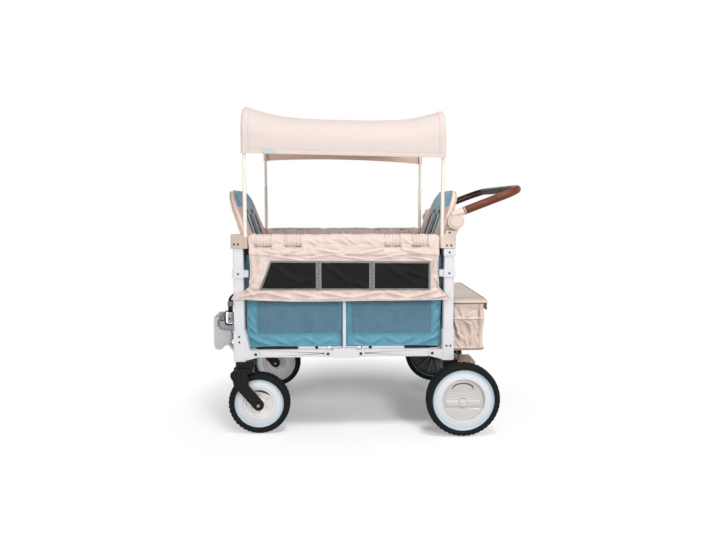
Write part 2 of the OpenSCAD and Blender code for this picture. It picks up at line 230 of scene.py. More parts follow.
def arc_uv(pts):
    """Surface lengths of a grid of points (nu, nv, 3) in metres, as UVs."""
    du = np.linalg.norm(np.diff(pts, axis=0), axis=2).mean(1)
    dv = np.linalg.norm(np.diff(pts, axis=1), axis=2).mean(0)
    u = np.concatenate([[0], np.cumsum(du)]) / 1000
    v = np.concatenate([[0], np.cumsum(dv)]) / 1000
    return np.stack(np.meshgrid(u, v, indexing="ij"), -1).reshape(-1, 2)


def rings(name, R, mats, index=None, closed=True, caps=True, sharp=38, body=None):
    """A skin over rings R (n, m, 3) in mm, each ring closed."""
    n, m = R.shape[:2]
    f = grid_faces(n, m, cu=not caps and not closed, cv=True)
    idx = [0] * len(f) if index is None else [index(k // m, k % m) for k in range(len(f))]
    if caps:
        f.append(tuple(range(m))[::-1])
        f.append(tuple((n - 1) * m + k for k in range(m)))
        idx += [idx[0], idx[-1]]
    ob = make(name, R.reshape(-1, 3), f, mats, idx, sharp, body=body)
    fix_normals(ob)
    return ob


def fix_normals(ob):
    bm = bmesh.new()
    bm.from_mesh(ob.data)
    bmesh.ops.recalc_face_normals(bm, faces=bm.faces)
    bm.to_mesh(ob.data)
    bm.free()
    ob.data.update()


def path_frames(pts, closed=False, up=None):
    """Tangents and a steady pair of normals along a line."""
    p = np.asarray(pts, float)
    if closed:
        t = np.roll(p, -1, 0) - np.roll(p, 1, 0)
    else:
        t = np.gradient(p, axis=0)
    t /= np.linalg.norm(t, axis=1)[:, None]
    if up is not None:
        a = np.broadcast_to(np.asarray(up, float), t.shape).copy()
        a = a - (a * t).sum(1)[:, None] * t
        a /= np.linalg.norm(a, axis=1)[:, None]
        return t, a, np.cross(t, a)
    a = np.zeros_like(t)
    ref = np.array([0, 0, 1.0]) if abs(t[0, 2]) < 0.9 else np.array([0, 1.0, 0])
    a[0] = ref - (ref @ t[0]) * t[0]
    a[0] /= np.linalg.norm(a[0])
    for i in range(1, len(p)):
        v = a[i - 1] - (a[i - 1] @ t[i]) * t[i]
        a[i] = v / np.linalg.norm(v)
    return t, a, np.cross(t, a)


def resample(pts, step, closed=False):
    p = np.asarray(pts, float)
    if closed:
        p = np.vstack([p, p[:1]])
    d = np.concatenate([[0], np.cumsum(np.linalg.norm(np.diff(p, axis=0), axis=1))])
    n = max(2, int(round(d[-1] / step)) + 1)
    s = np.linspace(0, d[-1], n)
    q = np.stack([np.interp(s, d, p[:, k]) for k in range(3)], 1)
    return q[:-1] if closed else q


def round_path(pts, r, n=8):
    """A polyline with its corners rounded to about r."""
    p = [np.asarray(q, float) for q in pts]
    out = [p[0]]
    for a, b, c in zip(p[:-2], p[1:-1], p[2:]):
        u, v = a - b, c - b
        lu, lv = np.linalg.norm(u), np.linalg.norm(v)
        u, v = u / lu, v / lv
        ang = math.acos(max(-1, min(1, float(u @ v))))
        d = min(r / max(1e-6, math.tan(ang / 2)), 0.48 * lu, 0.48 * lv)
        s, e = b + u * d, b + v * d
        for k in range(n + 1):
            t = k / n
            out.append((1 - t) ** 2 * s + 2 * t * (1 - t) * b + t * t * e)
    out.append(p[-1])
    return np.array(out)


def tube(name, pts, r, mats, segs=14, closed=False, body=None, caps=True, flat=1.0, up=None, sharp=50):
    """A tube of radius r (number or one per point); flat squeezes it along its first normal."""
    p = np.asarray(pts, float)
    t, a, b = path_frames(p, closed, up)
    rr = np.broadcast_to(np.asarray(r, float), (len(p),))
    th = np.linspace(0, 2 * math.pi, segs, endpoint=False)
    R = (p[:, None, :] + rr[:, None, None] * (np.cos(th)[None, :, None] * a[:, None, :] * flat
                                              + np.sin(th)[None, :, None] * b[:, None, :]))
    f = grid_faces(len(p), segs, cu=closed, cv=True)
    if caps and not closed:
        f.append(tuple(range(segs)))
        f.append(tuple((len(p) - 1) * segs + k for k in range(segs)))
    ob = make(name, R.reshape(-1, 3), f, mats, sharp=sharp, body=body)
    fix_normals(ob)
    return ob


def strap(name, pts, normal, w, t, mats, body=None, rib=True):
    """Flat webbing of width w and thickness t. normal: the flat face's direction, one or one per point."""
    p = np.asarray(pts, float)
    tg = np.gradient(p, axis=0)
    tg /= np.linalg.norm(tg, axis=1)[:, None]
    n = np.broadcast_to(np.asarray(normal, float), p.shape).copy()
    n = n - (n * tg).sum(1)[:, None] * tg
    n /= np.linalg.norm(n, axis=1)[:, None]
    s = np.cross(tg, n)
    h, q = w / 2, t / 2
    sec = []
    k = min(q, 0.9)
    for (u, v) in [(-h, -q + k), (-h + k, -q), (-h * 0.8, -q), (-h * 0.76, -q + 0.25 * rib), (0, -q + 0.25 * rib),
                   (h * 0.76, -q + 0.25 * rib), (h * 0.8, -q), (h - k, -q), (h, -q + k),
                   (h, q - k), (h - k, q), (h * 0.8, q), (h * 0.76, q - 0.25 * rib), (0, q - 0.25 * rib),
                   (-h * 0.76, q - 0.25 * rib), (-h * 0.8, q), (-h + k, q), (-h, q - k)]:
        sec.append((u, v))
    sec = np.array(sec)
    R = p[:, None, :] + sec[None, :, 0, None] * s[:, None, :] + sec[None, :, 1, None] * n[:, None, :]
    m = len(sec)
    f = grid_faces(len(p), m, cv=True)
    f.append(tuple(range(m)))
    f.append(tuple((len(p) - 1) * m + k2 for k2 in range(m)))
    uvs = np.stack(np.meshgrid(np.concatenate([[0], np.cumsum(np.linalg.norm(np.diff(p, axis=0), axis=1))]) / 1000,
                               sec[:, 0] / 1000, indexing="ij"), -1).reshape(-1, 2)
    ob = make(name, R.reshape(-1, 3), f, mats, sharp=45, uv=uvs, body=body)
    fix_normals(ob)
    return ob


def stitches(name, lines, mats, body, step=5.5, length=3.4, r=0.42, lift=0.25):
    """Rows of thread stitches along lines: (points, outward normals or one normal)."""
    V, F = [], []
    for pts, nor in lines:
        q = resample(pts, step)
        p0 = np.asarray(pts, float)
        if np.ndim(nor) == 1:
            nn = np.broadcast_to(np.asarray(nor, float), q.shape)
        else:
            d0 = np.concatenate([[0], np.cumsum(np.linalg.norm(np.diff(p0, axis=0), axis=1))])
            s = np.linspace(0, d0[-1], len(q))
            nn = np.stack([np.interp(s, d0, np.asarray(nor, float)[:, k]) for k in range(3)], 1)
        tg = np.gradient(q, axis=0)
        tg /= np.linalg.norm(tg, axis=1)[:, None]
        for c, t, n in zip(q[:-1] + np.diff(q, axis=0) / 2, tg[:-1], nn[:-1]):
            n = n / np.linalg.norm(n)
            b = np.cross(t, n)
            base = len(V)
            for u, k in ((-0.5, 0.35), (-0.3, 1.0), (0.3, 1.0), (0.5, 0.35)):
                for a in range(6):
                    ang = a * math.pi / 3
                    V.append(c + t * u * length + n * (lift + math.sin(ang) * r * k) + b * math.cos(ang) * r * k)
            for i in range(3):
                for a in range(6):
                    F.append((base + i * 6 + a, base + i * 6 + (a + 1) % 6, base + (i + 1) * 6 + (a + 1) % 6, base + (i + 1) * 6 + a))
            F.append(tuple(base + a for a in range(6))[::-1])
            F.append(tuple(base + 18 + a for a in range(6)))
    ob = make(name, np.array(V), F, mats, sharp=0, body=body)
    fix_normals(ob)
    return ob


def lathe(name, prof, c, segs, mats, zone=None, body=None, side=-1, sharp=35, closed=False, fun=None):
    """Turned about a Y axis through c = (x, y, z). prof: (radius, outward) in mm; outward is towards side * Y."""
    prof = np.asarray(prof, float)
    th = np.linspace(0, 2 * math.pi, segs, endpoint=False)
    n = len(prof)
    R = np.zeros((segs, n, 3))
    rad = np.broadcast_to(prof[None, :, 0], (segs, n)).copy()
    out = np.broadcast_to(prof[None, :, 1], (segs, n)).copy()
    if fun is not None:
        rad, out = fun(th[:, None], rad, out)
    R[:, :, 0] = c[0] + rad * np.cos(th)[:, None]
    R[:, :, 2] = c[2] + rad * np.sin(th)[:, None]
    R[:, :, 1] = c[1] + side * out
    f = grid_faces(segs, n, cu=True, cv=closed)
    m = n if closed else n - 1
    idx = None if zone is None else [zone[k % m] for k in range(len(f))]
    ob = make(name, R.reshape(-1, 3), f, mats, idx, sharp, body=body)
    weld(ob)
    fix_normals(ob)
    return ob


def weld(ob, d=1e-6):
    bm = bmesh.new()
    bm.from_mesh(ob.data)
    bmesh.ops.remove_doubles(bm, verts=bm.verts, dist=d)
    bad = [f for f in bm.faces if f.calc_area() < 1e-12]
    if bad:
        bmesh.ops.delete(bm, geom=bad, context="FACES_ONLY")
    bm.to_mesh(ob.data)
    bm.free()
    ob.data.update()


def prism(name, poly, axis, lo, hi, mats, bevel=0.0, segs=2, body=None, sharp=35):
    """An outline extruded along an axis, its edges rounded. axis y: poly is (x, z); x: (y, z); z: (x, y)."""
    poly = np.asarray(poly, float)
    n = len(poly)
    V = np.zeros((2 * n, 3))
    cols = {"x": (1, 2, 0), "y": (0, 2, 1), "z": (0, 1, 2)}[axis]
    for k, h in enumerate((lo, hi)):
        V[k * n:(k + 1) * n, cols[0]] = poly[:, 0]
        V[k * n:(k + 1) * n, cols[1]] = poly[:, 1]
        V[k * n:(k + 1) * n, cols[2]] = h
    f = [tuple(range(n)), tuple(range(2 * n - 1, n - 1, -1))]
    f += [(k, (k + 1) % n, n + (k + 1) % n, n + k) for k in range(n)]
    ob = make(name, V, f, mats, sharp=sharp, body=body)
    fix_normals(ob)
    if bevel:
        m = ob.modifiers.new("edge", "BEVEL")
        m.width = bevel / 1000
        m.segments = segs
        m.limit_method = "ANGLE"
        m.angle_limit = math.radians(32)
        bake_mods(ob)
        finish_mesh(ob.data, sharp)
        box_uv(ob.data)
    return ob


def join(name, obs, body=None):
    """One piece from several meshes, keeping their materials."""
    mats, V, F, I, U = [], [], [], [], []
    base = 0
    for o in obs:
        me = o.data
        look = []
        for m in me.materials:
            if m not in mats:
                mats.append(m)
            look.append(mats.index(m))
        co = np.zeros(len(me.vertices) * 3)
        me.vertices.foreach_get("co", co)
        V.append(co.reshape(-1, 3))
        lay = me.uv_layers.active
        for p in me.polygons:
            F.append([base + v for v in p.vertices])
            I.append(look[p.material_index] if look else 0)
            for li in p.loop_indices:
                U.append(tuple(lay.data[li].uv) if lay else (0, 0))
        base += len(me.vertices)
    me = bpy.data.meshes.new(name)
    me.from_pydata(np.vstack(V).tolist(), [], F)
    for m in mats:
        me.materials.append(m)
    me.polygons.foreach_set("material_index", np.array(I, np.int32))
    lay = me.uv_layers.new(name="UVMap")
    lay.data.foreach_set("uv", np.array(U, np.float32).ravel())
    me.update()
    finish_mesh(me, 40)
    for o in obs:
        old = o.data
        bpy.data.objects.remove(o)
        if old.users == 0:
            bpy.data.meshes.remove(old)
    ob = bpy.data.objects.new(name, me)
    COLL.objects.link(ob)
    if body:
        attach(ob, body)
    return ob


def rrect(x0, y0, x1, y1, r, n=6):
    out = []
    for cx, cy, a0 in ((x1 - r, y1 - r, 0), (x0 + r, y1 - r, 90), (x0 + r, y0 + r, 180), (x1 - r, y0 + r, 270)):
        for k in range(n + 1):
            a = math.radians(a0 + 90 * k / n)
            out.append((cx + r * math.cos(a), cy + r * math.sin(a)))
    return out


# ---------------------------------------------------------------- materials
class Mat:
    def __init__(self, name, **sock):
        self.m = bpy.data.materials.new(name)
        self.m.use_nodes = True
        self.nt = self.m.node_tree
        self.b = self.nt.nodes["Principled BSDF"]
        for k, v in sock.items():
            self.b.inputs[k.replace("_", " ")].default_value = v

    def n(self, kind, inp=None, **props):
        x = self.nt.nodes.new("ShaderNode" + kind)
        for k, v in props.items():
            setattr(x, k, v)
        for k, v in (inp or {}).items():
            if isinstance(v, bpy.types.NodeSocket):
                self.nt.links.new(v, x.inputs[k])
            else:
                x.inputs[k].default_value = v
        return x

    def to(self, out, sock):
        self.nt.links.new(out, self.b.inputs[sock])

    def math(self, op, a, b=0.0, c=None):
        d = {0: a, 1: b}
        if c is not None:
            d[2] = c
        return self.n("Math", d, operation=op).outputs[0]

    def mix(self, fac, a, b):
        x = self.n("Mix", data_type="RGBA")
        for k, v in ((0, fac), (6, a), (7, b)):
            if isinstance(v, bpy.types.NodeSocket):
                self.nt.links.new(v, x.inputs[k])
            else:
                x.inputs[k].default_value = v
        return x.outputs[2]

    def ramp(self, fac, stops):
        x = self.n("ValToRGB", {0: fac})
        e = x.color_ramp.elements
        while len(e) > len(stops):
            e.remove(e[-1])
        while len(e) < len(stops):
            e.new(1.0)
        for k, (pos, val) in enumerate(stops):
            e[k].position = pos
            e[k].color = val if len(val) == 4 else (*val, 1)
        return x.outputs[0]

    def rng(self, v, a, b, c, d):
        return self.n("MapRange", {0: v, 1: a, 2: b, 3: c, 4: d}).outputs[0]

    def obj(self):
        return self.n("TexCoord").outputs["Object"]

    def uv(self):
        return self.n("TexCoord").outputs["UV"]

    def noise(self, vec, scale, detail=3.0, rough=0.55):
        return self.n("TexNoise", {"Vector": vec, "Scale": scale, "Detail": detail, "Roughness": rough}).outputs["Fac"]

    def wave(self, vec, pitch_mm, axis="X", distort=0.0, dscale=1.0):
        return self.n("TexWave", {"Vector": vec, "Scale": 2 * math.pi / (20 * pitch_mm / 1000.0), "Distortion": distort,
                                  "Detail": 1.0, "Detail Scale": dscale},
                      wave_type="BANDS", bands_direction=axis, wave_profile="SIN").outputs["Fac"]

    def bump(self, height, strength, dist_mm):
        x = self.n("Bump", {"Height": height, "Strength": strength, "Distance": dist_mm / 1000.0})
        self.to(x.outputs[0], "Normal")
        return x


def fabric(name, a, b, pitch=1.3, rough=0.82, sheen=0.2, thread=0.22, blotch=0.5, bump=0.35, soft=0.5, spec=0.25):
    """Woven cloth: threads over and under, with slow colour drift and soft rumples."""
    g = Mat(name, Sheen_Weight=sheen, Sheen_Roughness=0.45, Specular_IOR_Level=spec)
    g.b.inputs["Sheen Tint"].default_value = (1, 0.97, 0.94, 1)
    uv, ob = g.uv(), g.obj()
    wu = g.math("SUBTRACT", g.wave(uv, pitch, "X", 0.25, 60), 0.5)
    wv = g.math("SUBTRACT", g.wave(uv, pitch, "Y", 0.25, 60), 0.5)
    over = g.math("MULTIPLY_ADD", g.math("MULTIPLY", wu, wv), 2.0, 0.5)
    slub = g.noise(uv, 900.0, 2.0)
    drift = g.noise(ob, 34.0, 4.0, 0.6)
    fac = g.math("MULTIPLY_ADD", g.math("SUBTRACT", over, 0.5), thread * 2, 0.5)
    fac = g.math("MULTIPLY_ADD", g.math("SUBTRACT", drift, 0.5), blotch * 1.6, fac)
    fac = g.math("MULTIPLY_ADD", g.math("SUBTRACT", slub, 0.5), 0.35, fac)
    cl = g.n("Clamp", {0: fac}).outputs[0]
    g.to(g.mix(cl, rgba(a), rgba(b)), "Base Color")
    g.to(g.rng(g.math("ADD", slub, g.math("MULTIPLY", drift, 0.6)), 0.4, 1.3, rough - 0.1, min(1, rough + 0.1)), "Roughness")
    low = g.math("MULTIPLY", g.noise(ob, 70.0, 3.0), soft * 4)
    h = g.math("ADD", g.math("ADD", over, g.math("MULTIPLY", slub, 0.5)), low)
    g.bump(h, bump, 0.35)
    return g.m


def net(name, a, b, pitch=2.2, hole=0.30, rough=0.6, see=True, sheen=0.1):
    """Knitted mesh with small round holes."""
    g = Mat(name, Sheen_Weight=sheen, Specular_IOR_Level=0.12)
    uv, ob = g.uv(), g.obj()
    wu = g.wave(uv, pitch, "X")
    wv = g.wave(uv, pitch * 0.82, "Y")
    dots = g.math("MULTIPLY", wu, wv)
    drift = g.noise(ob, 26.0, 3.0)
    fac = g.math("MULTIPLY_ADD", g.math("SUBTRACT", drift, 0.5), 1.1, g.math("MULTIPLY", dots, 0.9))
    g.to(g.mix(g.n("Clamp", {0: fac}).outputs[0], rgba(a), rgba(b)), "Base Color")
    g.to(g.rng(g.noise(ob, 300.0, 2.0), 0.3, 0.7, rough - 0.08, rough + 0.1), "Roughness")
    g.bump(g.math("MULTIPLY", dots, -1.0), 0.5, 0.5)
    if see:
        g.to(g.ramp(dots, [(0.0, (1, 1, 1)), (1 - hole - 0.04, (1, 1, 1)), (1 - hole + 0.04, (0, 0, 0))]), "Alpha")
    return g.m


def plastic(name, a, b, rough=0.45, grain=900.0, bump=0.12, coat=0.0, spec=0.45, var=0.5):
    """Moulded plastic with a spark-eroded grain."""
    g = Mat(name, Coat_Weight=coat, Specular_IOR_Level=spec)
    ob = g.obj()
    drift = g.noise(ob, 14.0, 4.0)
    fine = g.noise(ob, grain, 2.0)
    fac = g.math("MULTIPLY_ADD", g.math("SUBTRACT", drift, 0.5), var * 2, 0.5)
    g.to(g.mix(g.n("Clamp", {0: fac}).outputs[0], rgba(a), rgba(b)), "Base Color")
    g.to(g.rng(g.math("MULTIPLY_ADD", drift, 0.7, fine), 0.4, 1.3, rough - 0.08, rough + 0.1), "Roughness")
    g.bump(fine, bump, 0.12)
    return g.m


def painted(name, a, b, rough=0.3, peel=260.0):
    """Powder-coated metal with a fine orange peel."""
    g = Mat(name, Coat_Weight=0.15, Coat_Roughness=0.2, Specular_IOR_Level=0.5)
    ob = g.obj()
    drift = g.noise(ob, 9.0, 4.0)
    ppl = g.noise(ob, peel, 2.0)
    fac = g.math("MULTIPLY_ADD", g.math("SUBTRACT", drift, 0.5), 1.2, 0.5)
    g.to(g.mix(g.n("Clamp", {0: fac}).outputs[0], rgba(a), rgba(b)), "Base Color")
    g.to(g.rng(ppl, 0.3, 0.7, rough - 0.05, rough + 0.1), "Roughness")
    g.bump(ppl, 0.1, 0.2)
    return g.m


def metal(name, a, b, rough=0.32):
    g = Mat(name, Metallic=1.0)
    ob = g.obj()
    st = g.n("Mapping", {"Vector": ob, "Scale": (60.0, 60.0, 900.0)}).outputs[0]
    s = g.noise(st, 4.0, 3.0)
    g.to(g.mix(s, rgba(a), rgba(b)), "Base Color")
    g.to(g.rng(s, 0.3, 0.7, rough - 0.1, rough + 0.14), "Roughness")
    g.bump(s, 0.08, 0.1)
    return g.m


def rubber(name, a, b):
    g = Mat(name, Specular_IOR_Level=0.16)
    ob = g.obj()
    drift = g.noise(ob, 30.0, 5.0, 0.65)
    fine = g.noise(ob, 1400.0, 2.0)
    g.to(g.mix(g.ramp(drift, [(0.35, (0, 0, 0)), (0.75, (1, 1, 1))]), rgba(a), rgba(b)), "Base Color")
    g.to(g.rng(g.math("MULTIPLY_ADD", drift, 0.8, fine), 0.5, 1.4, 0.55, 0.85), "Roughness")
    g.bump(fine, 0.25, 0.2)
    return g.m


def leather_mat(name, a, b, c, spec=0.2):
    """Smooth wrapped leather: pebble grain, darker in the pores."""
    g = Mat(name, Specular_IOR_Level=spec, Coat_Weight=0.2 * spec, Coat_Roughness=0.4)
    ob = g.obj()
    vor = g.n("TexVoronoi", {"Vector": ob, "Scale": 520.0}, feature="DISTANCE_TO_EDGE").outputs["Distance"]
    pores = g.ramp(vor, [(0.0, (0, 0, 0)), (0.16, (1, 1, 1))])
    drift = g.noise(ob, 22.0, 5.0, 0.6)
    fine = g.noise(ob, 1200.0, 2.0)
    col = g.mix(g.rng(drift, 0.3, 0.72, 0.0, 1.0), rgba(a), rgba(b))
    g.to(g.mix(g.rng(pores, 0.0, 1.0, 0.45, 0.0), col, rgba(c)), "Base Color")
    g.to(g.rng(g.math("ADD", drift, fine), 0.6, 1.4, 0.36, 0.58), "Roughness")
    h = g.math("MULTIPLY_ADD", pores, 0.8, g.math("MULTIPLY", fine, 0.4))
    g.bump(h, 0.3, 0.25)
    return g.m


def webbing(name, a, b):
    """Narrow ribbed webbing."""
    g = Mat(name, Sheen_Weight=0.15, Specular_IOR_Level=0.3)
    uv, ob = g.uv(), g.obj()
    along = g.wave(uv, 1.7, "X")
    across = g.wave(uv, 1.1, "Y", 0.2, 40)
    h = g.math("MULTIPLY", along, across)
    d = g.noise(ob, 90.0, 3.0)
    fac = g.n("Clamp", {0: g.math("MULTIPLY_ADD", h, 0.7, g.math("MULTIPLY", d, 0.5))}).outputs[0]
    g.to(g.mix(fac, rgba(a), rgba(b)), "Base Color")
    g.to(g.rng(d, 0.3, 0.7, 0.6, 0.8), "Roughness")
    g.bump(h, 0.5, 0.3)
    return g.m


M = {}
M["white"] = painted("powder_white", "#d9d8db", "#cdccd0", 0.32)
M["pole"] = painted("pole_cream", "#efe4d8", "#e2d4c6", 0.34)
# a darker copy of the top-bracket plastic for the front brackets: painted shade for the front end, away from the light
M["beige"] = plastic("plastic_beige_shaded_copy", "#c5b1a4", "#b6a194", 0.48)
M["hub"] = plastic("plastic_hub", "#dac6bc", "#ceb9ae", 0.44)
M["black"] = plastic("plastic_black", "#131315", "#0a0a0b", 0.42, 700.0, 0.2, 0.0, 0.2)
M["grey"] = plastic("plastic_grey", "#e4e4e5", "#d6d6d8", 0.42)
M["taupe"] = plastic("plastic_taupe", "#b09c8d", "#9a8779", 0.5)
M["rim"] = plastic("rim_white", "#d7d9dd", "#cbcfd5", 0.28, 500.0, 0.05, 0.25)
M["rim_blue"] = plastic("rim_blue", "#7d9eab", "#688b9a", 0.34, 500.0, 0.05, 0.2)
M["rim_disc_front"] = plastic("rim_disc_front", "#e6e2df", "#dad5d2", 0.36, 700.0, 0.1, 0.2)
M["rim_pale"] = plastic("rim_pale", "#c3d0d6", "#b4c4cb", 0.34, 500.0, 0.05, 0.2)
M["rim_disc"] = plastic("rim_disc", "#cfc9c6", "#c1bbb8", 0.36, 700.0, 0.1, 0.2)
# dark rim plastic; the front hub's crescent plate in it is painted shade
M["rim_dark"] = plastic("rim_dark", "#2c3236", "#1f2427", 0.5, 700.0, 0.1)
# grey of the inner ribs; on the top of the rear hub's finger pocket it is painted shade
M["rim_rib"] = plastic("rim_rib", "#6b7073", "#54595c", 0.5, 700.0, 0.1)
M["tyre"] = rubber("tyre_rubber", "#0b0b0c", "#151516")
M["steel"] = metal("steel_brushed", "#b9b9bb", "#8d8d90", 0.34)
M["bolt"] = metal("bolt_dark", "#55504d", "#3a3633", 0.4)
M["chrome"] = metal("buckle_metal", "#e2e2e4", "#bdbdc0", 0.2)
M["canopy"] = fabric("canopy_cream", "#d3c7c1", "#cabcb5", 0.9, 0.8, 0.15, 0.15, 0.35, 0.25, 0.3)
M["canopy_in"] = fabric("canopy_lining", "#fbdccd", "#ecc7b6", 0.9, 0.85, 0.15, 0.15, 0.4, 0.25, 0.3)
M["cream"] = fabric("oxford_cream", "#e3d2ca", "#d1bcb3", 1.4, 0.84, 0.15, 0.25, 0.5, 0.4, 0.5)
# a lighter copy of the cream cloth for the seat backs' gusset and rear: painted light against the canopy's shade
M["gusset"] = fabric("gusset_cloth_lit_copy", "#f7e3d9", "#e8d0c5", 1.4, 0.84, 0.15, 0.25, 0.5, 0.4, 0.5)
M["tan"] = fabric("oxford_tan", "#d6c0b2", "#c2a898", 1.4, 0.8, 0.15, 0.25, 0.55, 0.4, 0.6)
M["teal"] = fabric("oxford_teal", "#63a6bb", "#488399", 1.3, 0.62, 0.25, 0.25, 0.6, 0.35, 0.6, 0.45)
M["teal_pad"] = fabric("pad_teal", "#69a3ba", "#4f89a2", 1.5, 0.7, 0.25, 0.3, 0.5, 0.4, 0.5, 0.4)
M["teal_net"] = net("mesh_teal", "#5f8496", "#426272", 2.4, 0.10)
M["black_net"] = net("mesh_black", "#171718", "#0b0b0c", 2.0, 0.3, 0.62, False, 0.03)
M["bind"] = webbing("binding_grey", "#737170", "#8c8987")
M["web_light"] = webbing("webbing_light", "#d5d6d8", "#b9bcc0")
M["web_black"] = webbing("webbing_black", "#151516", "#2a2a2b")
M["web_teal"] = webbing("webbing_teal", "#5d9db5", "#4585a0")
M["board"] = fabric("floor_cloth", "#2a2d31", "#1b1d20", 1.6, 0.85, 0.1, 0.3, 0.4, 0.5, 0.3)
M["leather"] = leather_mat("leather_brown", "#7d3e22", "#5c2b19", "#2c130c")
M["leather_dark"] = leather_mat("leather_dark", "#38221a", "#281812", "#140b07", 0.08)
# darker teal for the bead on the rear rims' inner face: painted shade
M["rim_inner"] = plastic("rim_inner", "#47717f", "#365c69", 0.4, 500.0, 0.05, 0.1)
# mid-grey plastic of the nuts and a buckle frame; on the pull grip it is painted shade
M["grey_dark_and_shade"] = plastic("plastic_grey_dark", "#98999b", "#86878a", 0.45)
M["thread"] = fabric("thread_cream", "#e7d3c4", "#d9c2b2", 0.6, 0.8)
M["tack"] = fabric("tack_brown", "#54423a", "#41322c", 0.6, 0.8)
M["thread_dark"] = fabric("thread_brown", "#7f6656", "#6a5446", 0.6, 0.8)
M["thread_teal"] = fabric("thread_teal", "#4d8aa2", "#417a92", 0.6, 0.8)
M["thread_grey"] = fabric("thread_grey", "#b7b5b3", "#a5a3a1", 0.6, 0.8)

# ------------------------------------------------------- camera, stage, light
cam = bpy.data.cameras.new("camera")
cam.sensor_width = 36.0
cam.lens = 550.0 / 716.0 * 36.0
cam.shift_y = -20.0 / 716.0
cam.clip_end = 60
camera = bpy.data.objects.new("camera", cam)
camera.location = P(-14.464, -2178, 813)
camera.rotation_euler = (math.radians(90 - 4.78), 0, math.radians(-1.87))
COLL.objects.link(camera)
SCENE.camera = camera


def backdrop():
    """A floor that curves up into a lit wall all round."""
    segs, V, F = 96, [(0, 0, 0)], []
    prof = [(0.4, 0.0), (0.9, 0.0), (1.6, 0.0), (2.5, 0.0), (5.0, 0.0), (7.0, 0.0), (7.8, 0.08), (8.5, 0.35), (9.1, 0.85),
            (9.5, 1.6), (9.7, 2.6), (9.75, 6.0)]
    for r, z in prof:
        for k in range(segs):
            a = 2 * math.pi * k / segs
            V.append((r * math.cos(a), r * math.sin(a), z))
    for k in range(segs):
        F.append((0, 1 + k, 1 + (k + 1) % segs))
    for i in range(len(prof) - 1):
        for k in range(segs):
            a, b = 1 + i * segs + k, 1 + i * segs + (k + 1) % segs
            F.append((a, a + segs, b + segs, b))
    me = bpy.data.meshes.new("studio_floor")
    me.from_pydata(V, [], F)
    me.shade_smooth()
    g = Mat("studio_white", Roughness=0.9, Specular_IOR_Level=0.1)
    ob = g.obj()
    d = g.noise(ob, 3.0, 3.0)
    g.to(g.mix(d, (0.79, 0.79, 0.79, 1), (0.82, 0.82, 0.82, 1)), "Base Color")
    oval = g.n("VectorMath", {0: ob, 1: (1 / 0.66, 1 / 0.62, 0.0)}, operation="MULTIPLY").outputs[0]
    far = g.n("VectorMath", {0: oval}, operation="LENGTH").outputs["Value"]
    glow = g.n("Emission", {"Color": (1, 1, 1, 1), "Strength": 1.0})
    mix = g.n("MixShader", {0: g.rng(far, 0.5, 1.15, 0.0, 1.0)})
    g.nt.links.new(g.b.outputs[0], mix.inputs[1])
    g.nt.links.new(glow.outputs[0], mix.inputs[2])
    g.nt.links.new(mix.outputs[0], g.nt.nodes["Material Output"].inputs[0])
    me.materials.append(g.m)
    ob = bpy.data.objects.new("studio_floor", me)
    COLL.objects.link(ob)


backdrop()
world = bpy.data.worlds.new("studio")
SCENE.world = world
world.use_nodes = True
world.node_tree.nodes["Background"].inputs[0].default_value = (1, 1, 1, 1)
world.node_tree.nodes["Background"].inputs[1].default_value = 0.22


def softbox(name, loc, target, size, power, col=(1, 1, 1)):
    d = bpy.data.lights.new(name, "AREA")
    d.shape = "RECTANGLE"
    d.size, d.size_y = size
    d.energy = power
    d.color = col
    o = bpy.data.objects.new(name, d)
    o.location = loc
    o.rotation_euler = (Vector(target) - Vector(loc)).to_track_quat("-Z", "Y").to_euler()
    COLL.objects.link(o)


softbox("key", (1.6, -3.5, 2.38), (0, 0, 0.6), (0.9, 0.9), 88)
softbox("side", (-2.6, -1.9, 1.5), (0, 0, 0.6), (1.2, 1.2), 15)
softbox("top", (0.5, -1.25, 3.4), (0, -0.15, 0.5), (0.9, 0.7), 62)
softbox("back", (0.8, 2.9, 2.2), (0, 0, 0.6), (2.0, 1.6), 14)
softbox("fill", (-0.4, -3.7, 1.25), (0, 0, 0.75), (2.4, 1.5), 25)
SCENE.view_settings.view_transform = "Standard"
SCENE.view_settings.look = "None"


# ------------------------------------------------ carried-over CAD nodes
def finish_node(names, mat, bevel=0.0):
    for n in names.split():
        o = NODES[n]
        o.data.materials.clear()
        o.data.materials.append(M[mat])
        if bevel:
            w = o.modifiers.new("weld", "WELD")
            w.merge_threshold = 1e-5
            m = o.modifiers.new("edge", "BEVEL")
            m.width = bevel / 1000
            m.segments = 2
            m.limit_method = "ANGLE"
            m.angle_limit = math.radians(40)
            m.harden_normals = True


finish_node("front_posts rear_posts front_bottom_brackets rear_bottom_brackets front_collars rear_collars "
            "front_lower_rails rear_lower_rails centre_tubes centre_brackets", "white", 0.9)
finish_node("front_cross_bars rear_cross_bars front_upper_rails rear_upper_rails", "white")
# the front top brackets take the darker copy of the bracket plastic: painted shade
finish_node("front_top_brackets", "beige", 1.0)
finish_node("rear_top_brackets", "hub", 1.0)
finish_node("front_pole_tubes rear_pole_tubes front_bow rear_bow", "pole")
finish_node("front_fasteners rear_fasteners centre_pins", "bolt")
finish_node("caster_housings rear_legs", "black", 1.0)
finish_node("caster_fork_left caster_fork_right", "black", 2.0)
finish_node("handle_hubs hub_button_left hub_button_right", "hub", 1.0)
finish_node("handle_tube rear_axle", "steel")
finish_node("pull_arm", "grey")
finish_node("brake_pedal", "taupe", 1.0)
finish_node("front_floor rear_floor", "board", 1.5)


